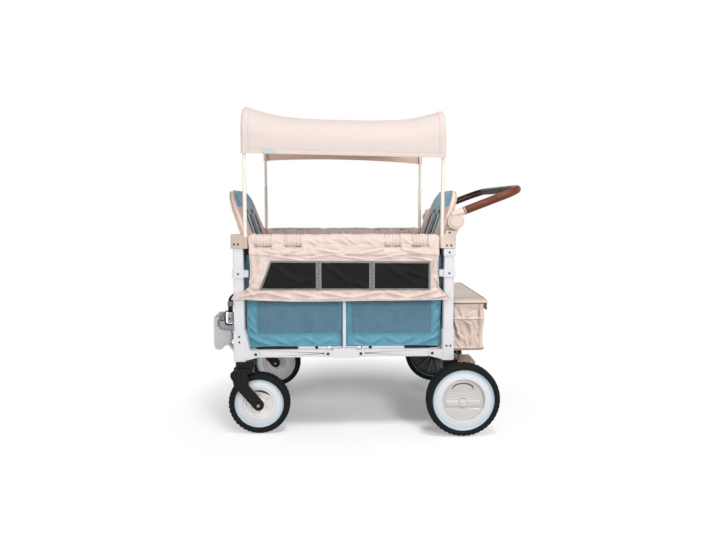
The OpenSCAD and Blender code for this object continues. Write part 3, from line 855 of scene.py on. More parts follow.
# ------------------------------------------------------------------- wheels
def tyre(name, c, R, rin, hw, lugs, body, node):
    """A low rubber tyre: rounded section, blocks cut by slanted grooves and a centre rib."""
    key = np.array([(0.80, 0.0), (0.90, 0.02), (0.965, 0.12), (1.0, 0.32), (0.995, 0.52), (0.95, 0.70), (0.86, 0.85),
                    (0.72, 0.94), (0.5, 0.985), (0.25, 1.0), (0.0, 1.0)])
    d = np.concatenate([[0], np.cumsum(np.hypot(*np.diff(key, axis=0).T))])
    s = np.linspace(0, d[-1], 22)
    half = np.stack([np.interp(s, d, key[:, 0]), np.interp(s, d, key[:, 1])], 1)
    prof = np.vstack([half, half[-2::-1] * [-1, 1]])
    w, h = prof[:, 0], prof[:, 1]
    rad0 = rin + (R - rin) * h
    segs = lugs * 10
    th = np.linspace(0, 2 * math.pi, segs, endpoint=False)
    n = len(prof)

    def cut(t, rad, out):
        ww = np.broadcast_to(w[None, :], rad.shape)
        hh = np.broadcast_to(h[None, :], rad.shape)
        ph = (t * lugs / (2 * math.pi) + 0.55 * np.abs(ww) + 0.25 * np.sign(ww)) % 1.0
        groove = smooth(0.60, 0.68, ph) * (1 - smooth(0.90, 0.98, ph))
        zone = smooth(0.62, 0.80, hh) * smooth(0.10, 0.18, np.abs(ww))
        rib = bump01(np.abs(ww), 0.15, 0.045) * (hh > 0.9)
        depth = 2.6 * groove * zone + 1.3 * rib
        side = 0.7 * groove * smooth(0.45, 0.6, hh) * (1 - smooth(0.75, 0.85, hh))
        return rad - depth, out - np.sign(ww) * side

    p = np.stack([rad0, w * hw], 1)
    ob = lathe(name, p, c, segs, [M["tyre"]], body=body, sharp=50, closed=True, fun=cut)
    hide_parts(node)
    return ob


def spread(prof, step=2.0):
    """Adds points along the straight runs of a profile, so that turned faces stay even."""
    out, zone = [prof[0][:2]], []
    for a, b in zip(prof[:-1], prof[1:]):
        k = max(1, int(math.hypot(b[0] - a[0], b[1] - a[1]) / step))
        for i in range(1, k + 1):
            t = i / k
            out.append((a[0] + (b[0] - a[0]) * t, a[1] + (b[1] - a[1]) * t))
            zone.append(a[2])
    return out, zone


def bead(cx, cy, r, a0, a1, zone, n=7):
    return [(cx + r * math.cos(math.radians(a0 + (a1 - a0) * k / n)), cy + r * math.sin(math.radians(a0 + (a1 - a0) * k / n)), zone)
            for k in range(n + 1)]


def front_rim(name, c, side, body, node):
    # zones: 0 white, 1 blue ring, 2 grey disc, 3 dark, 4 pale ring
    face = [(91.2, 0, 1), (91.2, 13.0, 1)] + bead(89.4, 15.2, 2.0, 20, 90, 1, 4) + bead(89.4, 15.2, 2.0, 100, 160, 4, 4) + [
        (86.9, 13.4, 4), (84.5, 12.6, 4), (82, 13.0, 4), (79.4, 13.4, 0), (72, 15.4, 0), (64, 16.8, 0)] + bead(61.5, 15.6, 1.6, 60, 150, 0, 4) + [
        (59.6, 14.2, 2), (55, 14.0, 2), (51.5, 14.0, 2), (50.2, 13.2, 2), (49.6, 10.4, 2), (48.2, 9.8, 2), (30, 9.2, 2),
        (20, 9.2, 2), (18.4, 9.6, 2), (17.2, 12.5, 2), (16.4, 17.6, 2), (15.2, 18.8, 2), (9.0, 18.9, 3), (8.2, 17.0, 3), (5.2, 17.0, 3), (5.2, 0, 3)]
    face = [(r * (0.958 if r > 22 else 1.0), o, zone) for r, o, zone in face]
    obs = []
    for sgn, tag in ((1, "a"), (-1, "b")):
        pr, zn = spread(face)
        obs.append(lathe(name + tag, pr, c, 128, [M["rim"], M["rim_blue"], M["rim_disc_front"], M["rim_dark"], M["rim_pale"]], zn, side=side * sgn))
    # small round bosses between the hub and the step, and drain notches in the ring
    for sgn in (1, -1):
        for k in range(6):
            a = math.radians(30 + 60 * k)
            x, z = c[0] + 33 * math.cos(a), c[2] + 33 * math.sin(a)
            obs.append(lathe("boss", [(0, 11.6), (2.6, 11.6), (3.6, 11.0), (4.2, 9.0)], (x, c[1], z), 18, [M["rim_disc"]], side=side * sgn))
        for k in range(12):
            a = math.radians(15 + 30 * k)
            x, z = c[0] + 72 * math.cos(a), c[2] + 72 * math.sin(a)
            obs.append(lathe("dimple", [(0, 14.5), (1.4, 14.5), (2.2, 13.7), (2.4, 12.4)], (x, c[1], z), 12, [M["rim"]], side=side * sgn))
        # a dark crescent plate in the hub step: painted shade standing in for a gap
        out = [(51.0 * math.cos(a), 51.0 * math.sin(a)) for a in np.linspace(math.radians(38), math.radians(112), 24)]
        mid = [((47.4 - 5.4 * math.sin(math.pi * k / 23)) * math.cos(a), (47.4 - 5.4 * math.sin(math.pi * k / 23)) * math.sin(a))
               for k, a in enumerate(np.linspace(math.radians(112), math.radians(38), 24))]
        y = sorted((c[1] + side * sgn * 9.0, c[1] + side * sgn * 10.3))
        obs.append(prism("crescent", [(c[0] + 0.93 * u, c[2] + 0.93 * v) for u, v in out + mid], "y", y[0], y[1], [M["rim_dark"]], 0.0))
    ob = join(name, obs, body)
    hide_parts(node)


def hub_face(name, c, side, R, depth, mats):
    """Recessed hub cover: a cross bar, a finger pocket above it and two shallow steps below."""
    n, m = 44, 144
    r = np.linspace(0, R, n)
    th = np.linspace(0, 2 * math.pi, m, endpoint=False)
    X, Z = r[:, None] * np.cos(th), r[:, None] * np.sin(th)
    h = np.full(X.shape, 0.0)
    bar = (1 - smooth(8.0, 10.5, np.abs(Z + 14))) * (1 - smooth(59, 63, np.abs(X)))
    h += 3.6 * bar
    e = np.hypot(X / 41.0, (Z - 40) / 21.0)
    pocket = 1 - smooth(0.80, 1.0, e)
    lip = bump01(e, 1.06, 0.08)
    h += -5.6 * pocket + 1.6 * lip
    h += -1.4 * bump01(Z, 6.0, 1.3) * (1 - smooth(56, 60, np.abs(X))) * (np.abs(X) > 17)
    h += 1.9 * (1 - smooth(-33.5, -31.5, Z)) - 1.2 * bump01(Z, -31.0, 1.2)
    cap = np.hypot(X, Z + 14)
    h += 2.4 * (1 - smooth(13.5, 15.5, cap)) - 1.6 * bump01(cap, 17.0, 1.3)
    h += 1.2 * smooth(R - 5, R - 2, np.hypot(X, Z))
    V = np.stack([c[0] + X, np.full(X.shape, 0.0), c[2] + Z], -1)
    V[..., 1] = c[1] + side * (depth + h)
    f = grid_faces(n, m, cv=True)
    # the upper crescent of the finger pocket takes the darker second material: painted shade under the pocket's lip
    idx = []
    for k in range(len(f)):
        i, j = k // m, k % m
        idx.append(1 if e[i, j] < 0.9 and np.hypot(X[i, j] / 41.0, (Z[i, j] - 34.5) / 21.0) > 0.84 else 0)
    ob = make(name, V.reshape(-1, 3), f, mats, idx, 45)
    weld(ob, 2e-5)
    fix_normals(ob)
    return ob


def rear_rim(name, c, side, body, node):
    # outer face: blue bead, white dished ring, recessed hub cover; inner face: a darker teal bead, which is painted
    # shade, and a dark bowl with ribs
    shrink = lambda rows: [(r * (0.975 if r > 30 else 1.0), o, zone) for r, o, zone in rows]
    outer = [(111.8, 0, 1), (111.8, 15.0, 1)] + bead(109.2, 17.0, 2.7, 10, 90, 1, 5) + bead(109.2, 17.0, 2.7, 100, 170, 4, 5) + [
        (106.2, 15.8, 4), (104.0, 14.9, 4), (101.2, 15.1, 4), (98.4, 15.5, 0), (92, 16.8, 0), (84, 18.2, 0)] + bead(78.6, 17.0, 1.9, 75, 175, 0, 6) + [
        (76.3, 12, 2), (75.8, 8.0, 2)]
    pr, zn = spread(shrink(outer))
    obs = [lathe(name + "a", pr, c, 144, [M["rim"], M["rim_blue"], M["rim_disc"], M["rim_dark"], M["rim_pale"]], zn, side=side)]
    obs.append(hub_face(name + "b", c, side, 75.8 * 0.975, 6.8, [M["rim_disc"], M["rim_rib"]]))
    inner = [(111.8, 0, 1), (111.8, 15.0, 1)] + bead(109.2, 17.0, 2.7, 10, 170, 1, 9) + [
        (106.0, 15.2, 3), (103.0, 8, 3), (98, 3.0, 3), (60, 2.0, 3), (26, 3.0, 3), (24.5, 4, 3), (23.5, 18, 3), (22.0, 19.4, 3),
        (12, 19.6, 3), (10.6, 18.5, 3), (8.2, 18.5, 3), (8.2, 0, 3)]
    pr, zn = spread(shrink(inner), 4.0)
    obs.append(lathe(name + "c", pr, c, 128, [M["rim"], M["rim_inner"], M["rim_disc"], M["rim_dark"]], zn, side=-side))
    for k in range(12):
        a = math.radians(15 + 30 * k)
        u = np.array([math.cos(a), 0, math.sin(a)])
        v = np.array([-math.sin(a), 0, math.cos(a)])
        y = np.array([0, -side, 0.0])
        base = np.array(c, float)
        rows = []
        for r, top, wd in ((22, 17.0, 2.6), (45, 15.0, 2.3), (80, 12.0, 2.0), (100.0, 9.5, 2.2)):
            rows.append([base + u * r + v * s * wd + y * hh for s, hh in ((-1, 1.5), (-1, top - 1), (-0.5, top), (0.5, top), (1, top - 1), (1, 1.5))])
        R = np.array(rows)
        obs.append(rings("rib", R, [M["rim_rib"]], caps=True))
    ob = join(name, obs, body)
    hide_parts(node)


for sd, tag in ((-1, "left"), (1, "right")):
    cf = (-302.0, sd * 257.0, 109.0)
    cr = (415.0, sd * 306.0, 130.0)
    tyre("front_tyre_%s_tread" % tag, cf, 109.0, 87.2, 21.5, 40, "front_wheel_" + tag, "front_tyre_" + tag)
    tyre("rear_tyre_%s_tread" % tag, cr, 130.0, 108.9, 22.0, 46, "rear_wheel_" + tag, "rear_tyre_" + tag)
    front_rim("front_rim_%s_disc" % tag, cf, sd, "front_wheel_" + tag, "front_rim_" + tag)
    rear_rim("rear_rim_%s_disc" % tag, cr, sd, "rear_wheel_" + tag, "rear_rim_" + tag)


# ------------------------------------------------------------------- canopy
def canopy_hem(x, side=-1):
    u = x / 352
    return 979 - 7 * u - 0.5 * u * u if side < 0 else 1008 - 7 * u - 13 * u * u


def canopy_profile(x, n):
    """Points across the canopy at x, from the near hem over the top to the far hem."""
    a = min(1.0, abs(x) / 331)
    sag = 34 * (1 - a ** 3.2)
    top = 1136 - 6 * x / 341 + 5.25 + 3.4 - sag
    pull = 7.0 * (1 - a ** 2)
    yo = 274 + 5.25 + 3.2 - pull
    c = 90 + 26 * (1 - a ** 2)
    low, far = canopy_hem(x), canopy_hem(x, 1)
    c, e = min(c, top - low - 40), min(c, top - far - 24)
    pts = [(-yo, low), (-yo - 0.3, 0.5 * (low + top - c))]
    for k in range(25):
        t = math.radians(180 - 90 * k / 24)
        pts.append((-yo + c + c * math.cos(t), top - c + c * math.sin(t)))
    drop = 5.0 * (1 - a ** 2)
    for k in range(1, 16):
        v = -1 + 2 * k / 16
        pts.append((-yo + c + (2 * yo - c - e) * (v + 1) / 2, top - drop * (1 - v * v)))
    for k in range(25):
        t = math.radians(90 - 90 * k / 24)
        pts.append((yo - e + e * math.cos(t), top - e + e * math.sin(t)))
    pts += [(yo + 0.3, 0.5 * (far + top - e)), (yo, far)]
    p = np.array(pts)
    d = np.concatenate([[0], np.cumsum(np.hypot(*np.diff(p, axis=0).T))])
    s = np.concatenate([[0, 4, 9, 13.2, 14, 14.8, 20], np.linspace(28, d[-1] - 28, n - 14),
                        d[-1] - np.array([20, 14.8, 14, 13.2, 9, 4, 0])])
    return np.stack([np.interp(s, d, p[:, 0]), np.interp(s, d, p[:, 1])], 1), s, d[-1]


def grid_normals(G):
    du = np.gradient(G, axis=0)
    dv = np.gradient(G, axis=1)
    n = np.cross(du, dv)
    return n / np.maximum(1e-9, np.linalg.norm(n, axis=2))[..., None]


def canopy():
    edge = [-349.8, -348.9, -347.4, -345.4, -343, -340, -337, -334, -331, -328, -326.6, -326, -325.4, -324, -320, -314]
    xs = np.array(edge + list(np.linspace(-304, 304, 77)) + [-e for e in edge[::-1]])
    nv = 150
    G = np.zeros((len(xs), nv, 3))
    S = np.zeros((len(xs), nv))
    L = np.zeros(len(xs))
    for i, x in enumerate(xs):
        p, s, L[i] = canopy_profile(x, nv)
        G[i, :, 0] = x
        G[i, :, 1:] = p
        S[i] = s
    N = grid_normals(G)
    if N[len(xs) // 2, nv // 2, 2] < 0:
        N = -N
    ax = np.abs(xs)[:, None]
    d = 2.4 * np.exp(-((ax - 341) / 8.0) ** 2) - 3.2 * smooth(345.5, 349.8, ax)
    d = d - 0.9 * np.exp(-((ax - 326) / 0.9) ** 2)
    hem = np.minimum(S, L[:, None] - S)
    d = d + 0.7 * (1 - smooth(12.5, 15.0, hem)) - 0.6 * np.exp(-((hem - 14) / 0.9) ** 2)
    flat = G.reshape(-1, 3)
    pull = (1 - smooth(250, 326, ax)) * 0.6 + 0.4
    w1 = nzf(flat * np.array([0.28, 1.0, 1.0]), 90, 1.0, 2).reshape(d.shape)
    w2 = nz(flat * np.array([1.0, 0.35, 0.35]), 46, 4.0).reshape(d.shape)
    near_edge = np.exp(-((ax - 322) / 26) ** 2)
    d = d + 1.5 * w1 * pull + 1.1 * w2 * near_edge
    G = G + N * d[..., None]
    f = grid_faces(len(xs), nv)
    ob = make("canopy_sheet", G.reshape(-1, 3), f, [M["canopy"], M["canopy_in"]], uv=arc_uv(G), sharp=60)
    me = ob.data
    if me.polygons[(len(xs) // 2) * (nv - 1) + nv // 2].normal.z < 0:
        me.flip_normals()
    solidify(ob, 1.4, -1.0, 1, 0)
    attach(ob, "front_hoop")
    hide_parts("canopy")

    def line(i, j0, j1):
        return G[i, j0:j1], N[i, j0:j1]

    rows = []
    for x in (-326, 326):
        i = int(np.argmin(np.abs(xs - x)))
        for di in (-1, 1):
            rows.append(line(i + di, 2, nv - 2))
    for j in (3, 5, nv - 4, nv - 6):
        rows.append((G[6:-6, j], N[6:-6, j]))
    st = stitches("canopy_stitches", rows, [M["thread"]], "front_hoop", 5.0, 3.2, 0.4, 0.15)
    # round tabs of binding where the hem meets the bows
    tabs = []
    for sx in (-1, 1):
        for sy in (-1, 1):
            x = sx * 341
            z = canopy_hem(x, sy)
            tabs.append(tube("tab", round_path([(x - 10, sy * 283.6, z + 3), (x, sy * 285.4, z - 2.0), (x + 10, sy * 283.6, z + 3)], 6), 1.6,
                             [M["canopy"]], 8))
    # a short end of plain ribbon sewn into the near hem
    z0 = canopy_hem(-258)
    tabs.append(prism("ribbon_tab", rrect(-278, z0 - 1.5, -238, z0 + 11, 1.5), "y", -284.8, -283.4, [M["teal_tab"]], 0.4, 2))
    trim = join("canopy_trim", tabs, "front_hoop")
    for o in (ob, st, trim):
        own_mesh(o)


M["teal_tab"] = fabric("tab_teal", "#b9c8c8", "#abbcbc", 0.9, 0.8, 0.1, 0.2, 0.3)
canopy()


# ------------------------------------------- rail covers, side flaps, tub walls
BANDS = [(-306, -255), (-203, -151), (142, 193), (238, 290)]


def cover_grid(xs, ph, sd, seed):
    """Skin of the padded rail cover: gathered bands, fuller cloth between them."""
    X = xs[:, None] + 0 * ph[None, :]
    ry = 23.2 + 0 * X
    band = np.zeros_like(X)
    edge = np.zeros_like(X)
    for a, b in BANDS:
        band = np.maximum(band, smooth(a - 2, a + 2, X) * (1 - smooth(b - 2, b + 2, X)))
        edge += np.exp(-((X - a) / 1.3) ** 2) + np.exp(-((X - b) / 1.3) ** 2)
    C = np.cos(ph)[None, :] + 0 * X
    Sn = np.sin(ph)[None, :] + 0 * X
    p = np.stack([X, sd * (258 + 22 * C), 684 + 22 * Sn], -1).reshape(-1, 3)
    soft = (2.7 * nzf(p * np.array([0.6, 1, 1]), 42, seed, 3) + 2.3 * nz(p * np.array([1.0, 0.5, 0.5]), 17, seed + 2)).reshape(X.shape)
    pleat = 3.4 * (np.abs(np.sin(math.pi * X / 10.4 + 0.35 * np.sin(3 * ph)[None, :])) ** 0.8 - 0.55)
    folds = crease(np.stack([X.ravel(), (684 + 30 * Sn).ravel()], 1), [
        (-20, 700, 22, 668, 5, 3.0), (8, 698, 40, 676, 4, 2.4), (-60, 690, -20, 664, 5, 2.6), (70, 694, 110, 668, 5, 2.8),
        (-120, 690, -90, 668, 4, 2.4), (-238, 694, -204, 672, 4, 2.4), (208, 694, 240, 668, 4, 2.6), (120, 676, 148, 690, 4, 2.4),
        (-90, 704, -40, 694, 4, 2.2), (30, 706, 90, 698, 4, 2.2), (-318, 700, -300, 668, 4, 2.2), (304, 668, 322, 700, 4, 2.2)]).reshape(X.shape)
    r = ry + (1 - band) * (0.8 + soft + 1.5 * folds) + band * (0.2 + pleat) - 2.2 * np.clip(edge, 0, 1)
    end = smooth(316, 332, np.abs(X))
    r = r * (1 - 0.16 * end ** 2) - 1.4 * np.exp(-((np.abs(X) - 320) / 2.2) ** 2)
    out = 1 + 0.03 * (C > 0)
    Y = sd * (258 + r * C * out)
    Z = 684 + r * Sn * (1 + 0.02 * (Sn > 0)) - 1.0 * (1 - band) * (Sn < 0)
    return np.stack([X, Y, Z], -1), band


def rail_cover(sd, half):
    tag = "left" if sd < 0 else "right"
    end = "front" if half < 0 else "rear"
    base = list(np.arange(0, 328, 1.8)) + [329, 330.4, 331.2]
    xs = np.array(base if half > 0 else [-b for b in base[::-1]])
    ph = np.linspace(0, 2 * math.pi, 56, endpoint=False)
    G, band = cover_grid(xs, ph, sd, 2.0 + sd)
    n, m = G.shape[:2]
    f = grid_faces(n, m, cv=True)
    i = -1 if half > 0 else 0
    k = n if half > 0 else -1
    V = G.reshape(-1, 3)
    # the outer end closes round the rail in a drawn-in ring
    c = np.array([half * 331.0, sd * 256.5, 684.0])
    ring = c + (G[i] - c) * 0.55
    ring[:, 0] = half * 329.0
    V = np.vstack([V, ring])
    base_i = (n - 1) * m if half > 0 else 0
    for j in range(m):
        f.append((base_i + j, base_i + (j + 1) % m, n * m + (j + 1) % m, n * m + j))
    f.append(tuple(n * m + j for j in range(m)))
    inner = (0 if half > 0 else (n - 1) * m)
    f.append(tuple(inner + j for j in range(m)))
    du = np.concatenate([[0], np.cumsum(np.abs(np.diff(xs)))]) / 1000
    uv = np.stack(np.meshgrid(du, np.arange(m) / m * 0.145, indexing="ij"), -1).reshape(-1, 2)
    uv = np.vstack([uv, uv[:m]])
    ob = make("%s_rail_cover_%s" % (end, tag), V, f, [M["cream"]], uv=uv, sharp=70)
    fix_normals(ob)
    N = grid_normals(G)
    rows, dots = [], []
    for a, b in BANDS:
        if (a < 0) != (half < 0):
            continue
        for x in (a - 2.2, b + 2.2):
            ii = int(np.argmin(np.abs(xs - x)))
            c0 = np.array([xs[ii], sd * 258, 684.0])
            rows.append((G[ii], (G[ii] - c0) / np.linalg.norm(G[ii] - c0, axis=1)[:, None]))
        sel = (xs > a - 1) & (xs < b + 1)
        for deg in (-43, 137):
            jj = int(round((math.radians(deg) % (2 * math.pi)) / (2 * math.pi) * m)) % m
            q = G[sel, jj]
            c0 = np.stack([q[:, 0], np.full(len(q), sd * 258.0), np.full(len(q), 684.0)], 1)
            dots.append((q, (q - c0) / np.linalg.norm(q - c0, axis=1)[:, None]))
    st = stitches("%s_cover_stitches_%s" % (end, tag), rows, [M["thread_dark"]], None, 5.0, 3.4, 0.55)
    dt = stitches("%s_cover_bartacks_%s" % (end, tag), dots, [M["tack"]], None, 10.4, 5.4, 2.3, -0.4)
    for o in (ob, st, dt):
        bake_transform(o)
    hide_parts("%s_rail_covers" % end)


for sd in (-1, 1):
    for half in (-1, 1):
        rail_cover(sd, half)

FLAP_FOLDS = [(-318, 646, -312, 556, 6, 3.4), (-356, 496, -262, 512, 5, 4.2), (-340, 522, -298, 487, 5, 3.2), (-262, 505, -196, 491, 5, 3.4),
              (-176, 508, -104, 493, 5, 3.4), (-70, 506, 20, 490, 5, 3.6), (44, 492, 120, 507, 5, 3.2), (150, 508, 214, 491, 5, 3.6),
              (236, 492, 322, 514, 5, 4.2), (304, 560, 322, 646, 6, 3.4), (356, 496, 300, 486, 5, 3.2), (-250, 635, -160, 622, 4, 2.6),
              (-120, 629, -50, 637, 4, 2.4), (-20, 635, 70, 622, 4, 2.6), (110, 625, 190, 636, 4, 2.4), (214, 635, 300, 618, 4, 2.8),
              (-300, 662, -230, 644, 4, 2.2), (-200, 645, -140, 660, 4, 2.0), (-90, 657, -20, 644, 4, 2.2), (60, 643, 140, 658, 4, 2.4),
              (200, 658, 270, 643, 4, 2.4), (-276, 566, -298, 516, 5, 2.6), (-344, 508, -316, 560, 5, 2.6), (346, 508, 318, 556, 5, 2.6),
              (-330, 486, -240, 482, 5, 2.4), (-120, 484, 0, 488, 5, 2.2), (90, 486, 220, 482, 5, 2.4),
              (150, 602, 236, 540, 9, 4.0), (-60, 600, 10, 548, 9, 3.4), (-240, 596, -160, 545, 9, 3.4), (190, 590, 280, 560, 7, 2.6),
              (-130, 548, -200, 526, 7, 2.6), (40, 540, 84, 522, 7, 2.6)]
WIN = [(-254.0, 615.0), (297.0, 611.0), (297.0, 516.0), (-290.0, 518.0)]


def flap_left(z):
    z = np.asarray(z, float)
    return -326 + 3 * smooth(520, 600, z) * (1 - smooth(600, 650, z)) - 63 * (1 - smooth(484, 536, z)) ** 1.5


def flap_right(z):
    z = np.asarray(z, float)
    return 328 - 3 * smooth(520, 600, z) * (1 - smooth(600, 650, z)) + 38 * (1 - smooth(484, 536, z)) ** 1.5


def flap_low(x):
    x = np.asarray(x)
    return 480.0 + 1.2 * np.sin(x / 120.0) - 2.0 * (1 - (x / 380.0) ** 2) + 5.0 * (1 - smooth(-330, -160, x))


def flap_out(x, z, sd):
    """How far the flap's outer face stands from the centre plane."""
    x, z = np.broadcast_arrays(np.asarray(x, float), np.asarray(z, float))
    p2 = np.stack([x.ravel(), z.ravel()], 1)
    p3 = np.stack([x.ravel(), z.ravel(), np.full(x.size, 40.0 * sd)], 1)
    d = 2.8 * crease(p2, FLAP_FOLDS) + 2.8 * nzf(p3, 64, 7.0 + sd, 3) + 2.2 * nz(p3, 19, 3.0 + sd) + 0.8 * nz(p3, 9, 8.0 + sd)
    d = d.reshape(x.shape)
    inside = smooth(512, 524, z) * (1 - smooth(606, 618, z)) * smooth(-292, -272, x) * (1 - smooth(292, 300, x))
    d = d * (1 - 0.4 * inside)
    seam = z - 636.5 - 1.4 * np.sin(x / 31.0) - 0.9 * np.sin(x / 11.0)
    d = d + 3.0 * smooth(-1.0, 1.0, seam) * (1 - smooth(2, 20, seam)) - 1.6 * np.exp(-((seam + 2.2) / 1.6) ** 2)
    body = 284.0 + 2.0 * (1 - smooth(480, 520, z))
    band = np.zeros_like(x)
    for a, b in BANDS:
        band = np.maximum(band, smooth(a - 8, a, x) * (1 - smooth(b, b + 8, x)))
    up = smooth(648, 668, z)
    return body + d * (1 - 0.5 * up) - 11.5 * up * band - 4.2 * (1 - band) * smooth(664, 690, z)


def offset_quad(q, d):
    """A convex outline moved outwards by d."""
    q = np.asarray(q, float)
    c = q.mean(0)
    lines = []
    for a, b in zip(q, np.roll(q, -1, 0)):
        t = (b - a) / np.linalg.norm(b - a)
        n = np.array([t[1], -t[0]])
        if n @ ((a + b) / 2 - c) < 0:
            n = -n
        lines.append((a + n * d, t))
    out = []
    for (p, t), (r, s) in zip([lines[-1]] + lines[:-1], lines):
        k = np.linalg.solve(np.array([t, -s]).T, r - p)
        out.append(p + t * k[0])
    return np.array(out)


def side_flap(sd):
    tag = "left" if sd < 0 else "right"
    nu, nv = 230, 140
    vz = np.linspace(0, 1, nv)
    u = np.linspace(0, 1, nu)
    Z0 = flap_low(0)
    G = np.zeros((nu, nv, 3))
    for j, v in enumerate(vz):
        zt = 480 + (689 - 480) * v
        xl, xr = float(flap_left(zt)), float(flap_right(zt))
        x = xl + (xr - xl) * u
        lowz = flap_low(x)
        z = lowz + (689 - lowz) * v
        G[:, j, 0] = x
        G[:, j, 2] = z
        G[:, j, 1] = sd * flap_out(x, z, sd)
    ob = make("side_flap_%s" % tag, G.reshape(-1, 3), grid_faces(nu, nv), [M["cream"]], uv=arc_uv(G), sharp=60)
    me = ob.data
    if me.polygons[0].normal.y * sd < 0:
        me.flip_normals()
    solidify(ob, 1.6, -1.0)
    bits = []
    # bound edges: down each side, along the hem
    for x_of, nm in ((flap_left, "a"), (flap_right, "b")):
        zz = np.linspace(482, 684, 66)
        xx = x_of(zz)
        y = sd * (flap_out(xx, zz, sd) - 0.6)
        bits.append(tube("edge", np.stack([xx, y, zz], 1), 1.9, [M["cream"]], 10, flat=1.25, up=(0, 1, 0)))
    xx = np.linspace(float(flap_left(480)), float(flap_right(480)), 150)
    zz = flap_low(xx)
    bits.append(tube("hem", np.stack([xx, sd * (flap_out(xx, zz, sd) - 0.6), zz], 1), 2.1, [M["cream"]], 10))
    edges = join("side_flap_edges_%s" % tag, bits, "centre")
    # window: dark mesh, grey binding round it, two dividers
    wq = np.array(WIN)
    nu, nv = 130, 30
    U, Vv = np.meshgrid(np.linspace(0, 1, nu), np.linspace(0, 1, nv), indexing="ij")
    tl, tr, br, bl = wq
    Q = ((1 - U) * Vv)[..., None] * tl + (U * Vv)[..., None] * tr + (U * (1 - Vv))[..., None] * br + ((1 - U) * (1 - Vv))[..., None] * bl
    yy = sd * (flap_out(Q[..., 0], Q[..., 1], sd) + 0.7)
    H = np.stack([Q[..., 0], yy, Q[..., 1]], -1)
    win = make("side_window_%s" % tag, H.reshape(-1, 3), grid_faces(nu, nv), [M["black_net"]], uv=arc_uv(H), sharp=60)
    if win.data.polygons[0].normal.y * sd < 0:
        win.data.flip_normals()
    solidify(win, 0.9, -1.0)
    bits = []
    rows = []
    prof = [(-3.4, 0.2), (-3.2, 1.3), (-1.6, 1.75), (1.6, 1.75), (3.2, 1.3), (3.4, 0.2)]
    for k in range(4):
        pts = []
        for d, h in prof:
            o = offset_quad(wq, d)
            a, b = o[k], o[(k + 1) % 4]
            t = np.linspace(0, 1, 90 if k % 2 == 0 else 20)[:, None]
            line = a + (b - a) * t
            y = sd * (flap_out(line[:, 0], line[:, 1], sd) + h)
            pts.append(np.stack([line[:, 0], y, line[:, 1]], 1))
        R = np.stack(pts, 1)
        bits.append(make("bind", R.reshape(-1, 3), grid_faces(R.shape[0], R.shape[1]), [M["bind"]], uv=arc_uv(R), sharp=50))
        for d in (-2.4, 2.4):
            o = offset_quad(wq, d)
            a, b = o[k], o[(k + 1) % 4]
            t = np.linspace(0.01, 0.99, 90 if k % 2 == 0 else 20)[:, None]
            line = a + (b - a) * t
            y = sd * (flap_out(line[:, 0], line[:, 1], sd) + 1.6)
            rows.append((np.stack([line[:, 0], y, line[:, 1]], 1), (0, sd, 0)))
    for xc in (-89, 96):
        zz = np.linspace(513, 617, 26)
        pts = []
        for d, h in ((-9.6, 0.3), (-9.4, 1.5), (-7.0, 2.0), (0, 2.05), (7.0, 2.0), (9.4, 1.5), (9.6, 0.3)):
            y = sd * (flap_out(np.full(26, xc + d), zz, sd) + h)
            pts.append(np.stack([np.full(26, xc + d), y, zz], 1))
        R = np.stack(pts, 1)
        bits.append(make("divider", R.reshape(-1, 3), grid_faces(26, 7), [M["bind"]], uv=arc_uv(R), sharp=50))
        for k, zc in enumerate(np.linspace(522, 608, 8)):
            mark = np.array([(xc - 5.5 + 2.5 * (k % 3), zc - 2.5), (xc + 0.5 + 2.5 * (k % 3), zc + 2.5)])
            y = sd * (flap_out(mark[:, 0], mark[:, 1], sd) + 2.3)
            bits.append(tube("tack", np.column_stack([mark[:, 0], y, mark[:, 1]]), 1.1, [M["web_black"]], 6))
        for d in (-7.8, 7.8):
            y = sd * (flap_out(np.full(26, xc + d), zz, sd) + 1.9)
            rows.append((np.stack([np.full(26, xc + d), y, zz], 1), (0, sd, 0)))
    for o in bits:
        if not o.name.startswith("tack") and o.data.polygons[0].normal.y * sd < 0:
            o.data.flip_normals()
    tape = join("side_window_tape_%s" % tag, bits, "centre")
    st1 = stitches("side_window_stitches_%s" % tag, rows, [M["thread_grey"]], "centre", 4.6, 3.0, 0.35, 0.1)
    rows = []
    xx = np.linspace(-318, 320, 200)
    for zc in (641.5, 646.0):
        rows.append((np.stack([xx, sd * flap_out(xx, np.full(200, zc), sd), np.full(200, zc)], 1), (0, sd, 0)))
    xx = np.linspace(-368, 366, 220)
    for dz in (5.0, 9.5):
        zz = flap_low(xx) + dz
        rows.append((np.stack([xx, sd * flap_out(xx, zz, sd), zz], 1), (0, sd, 0)))
    for x_of, s in ((flap_left, 5), (flap_right, -5)):
        zz = np.linspace(505, 634, 50)
        rows.append((np.stack([x_of(zz) + s, sd * flap_out(x_of(zz) + s, zz, sd), zz], 1), (0, sd, 0)))
    st2 = stitches("side_flap_stitches_%s" % tag, rows, [M["thread"]], "centre", 5.2, 3.3, 0.4, 0.15)
    for o in (ob, win):
        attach(o, "centre")
    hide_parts("side_flaps")
    for o in (ob, edges, win, tape, st1, st2):
        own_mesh(o)


for sd in (-1, 1):
    side_flap(sd)


# ------------------------------------------------------------------ tub walls
def panel(name, us, vs, hole, place, mats, t, body):
    """A bordered panel: a grid over us x vs with one window left open. place(U, V) gives points."""
    us, vs = np.asarray(us, float), np.asarray(vs, float)
    U, V = np.meshgrid(us, vs, indexing="ij")
    G = place(U, V)
    u0, u1, v0, v1 = hole
    um, vm = (us[:-1] + us[1:]) / 2, (vs[:-1] + vs[1:]) / 2
    f = grid_faces(len(us), len(vs), skip=lambda i, j: u0 < um[i] < u1 and v0 < vm[j] < v1)
    ob = make(name, G.reshape(-1, 3), f, mats, uv=np.stack([U, V], -1).reshape(-1, 2) / 1000, sharp=60)
    bm = bmesh.new()
    bm.from_mesh(ob.data)
    bmesh.ops.delete(bm, geom=[v for v in bm.verts if not v.link_faces], context="VERTS")
    bm.to_mesh(ob.data)
    bm.free()
    return ob


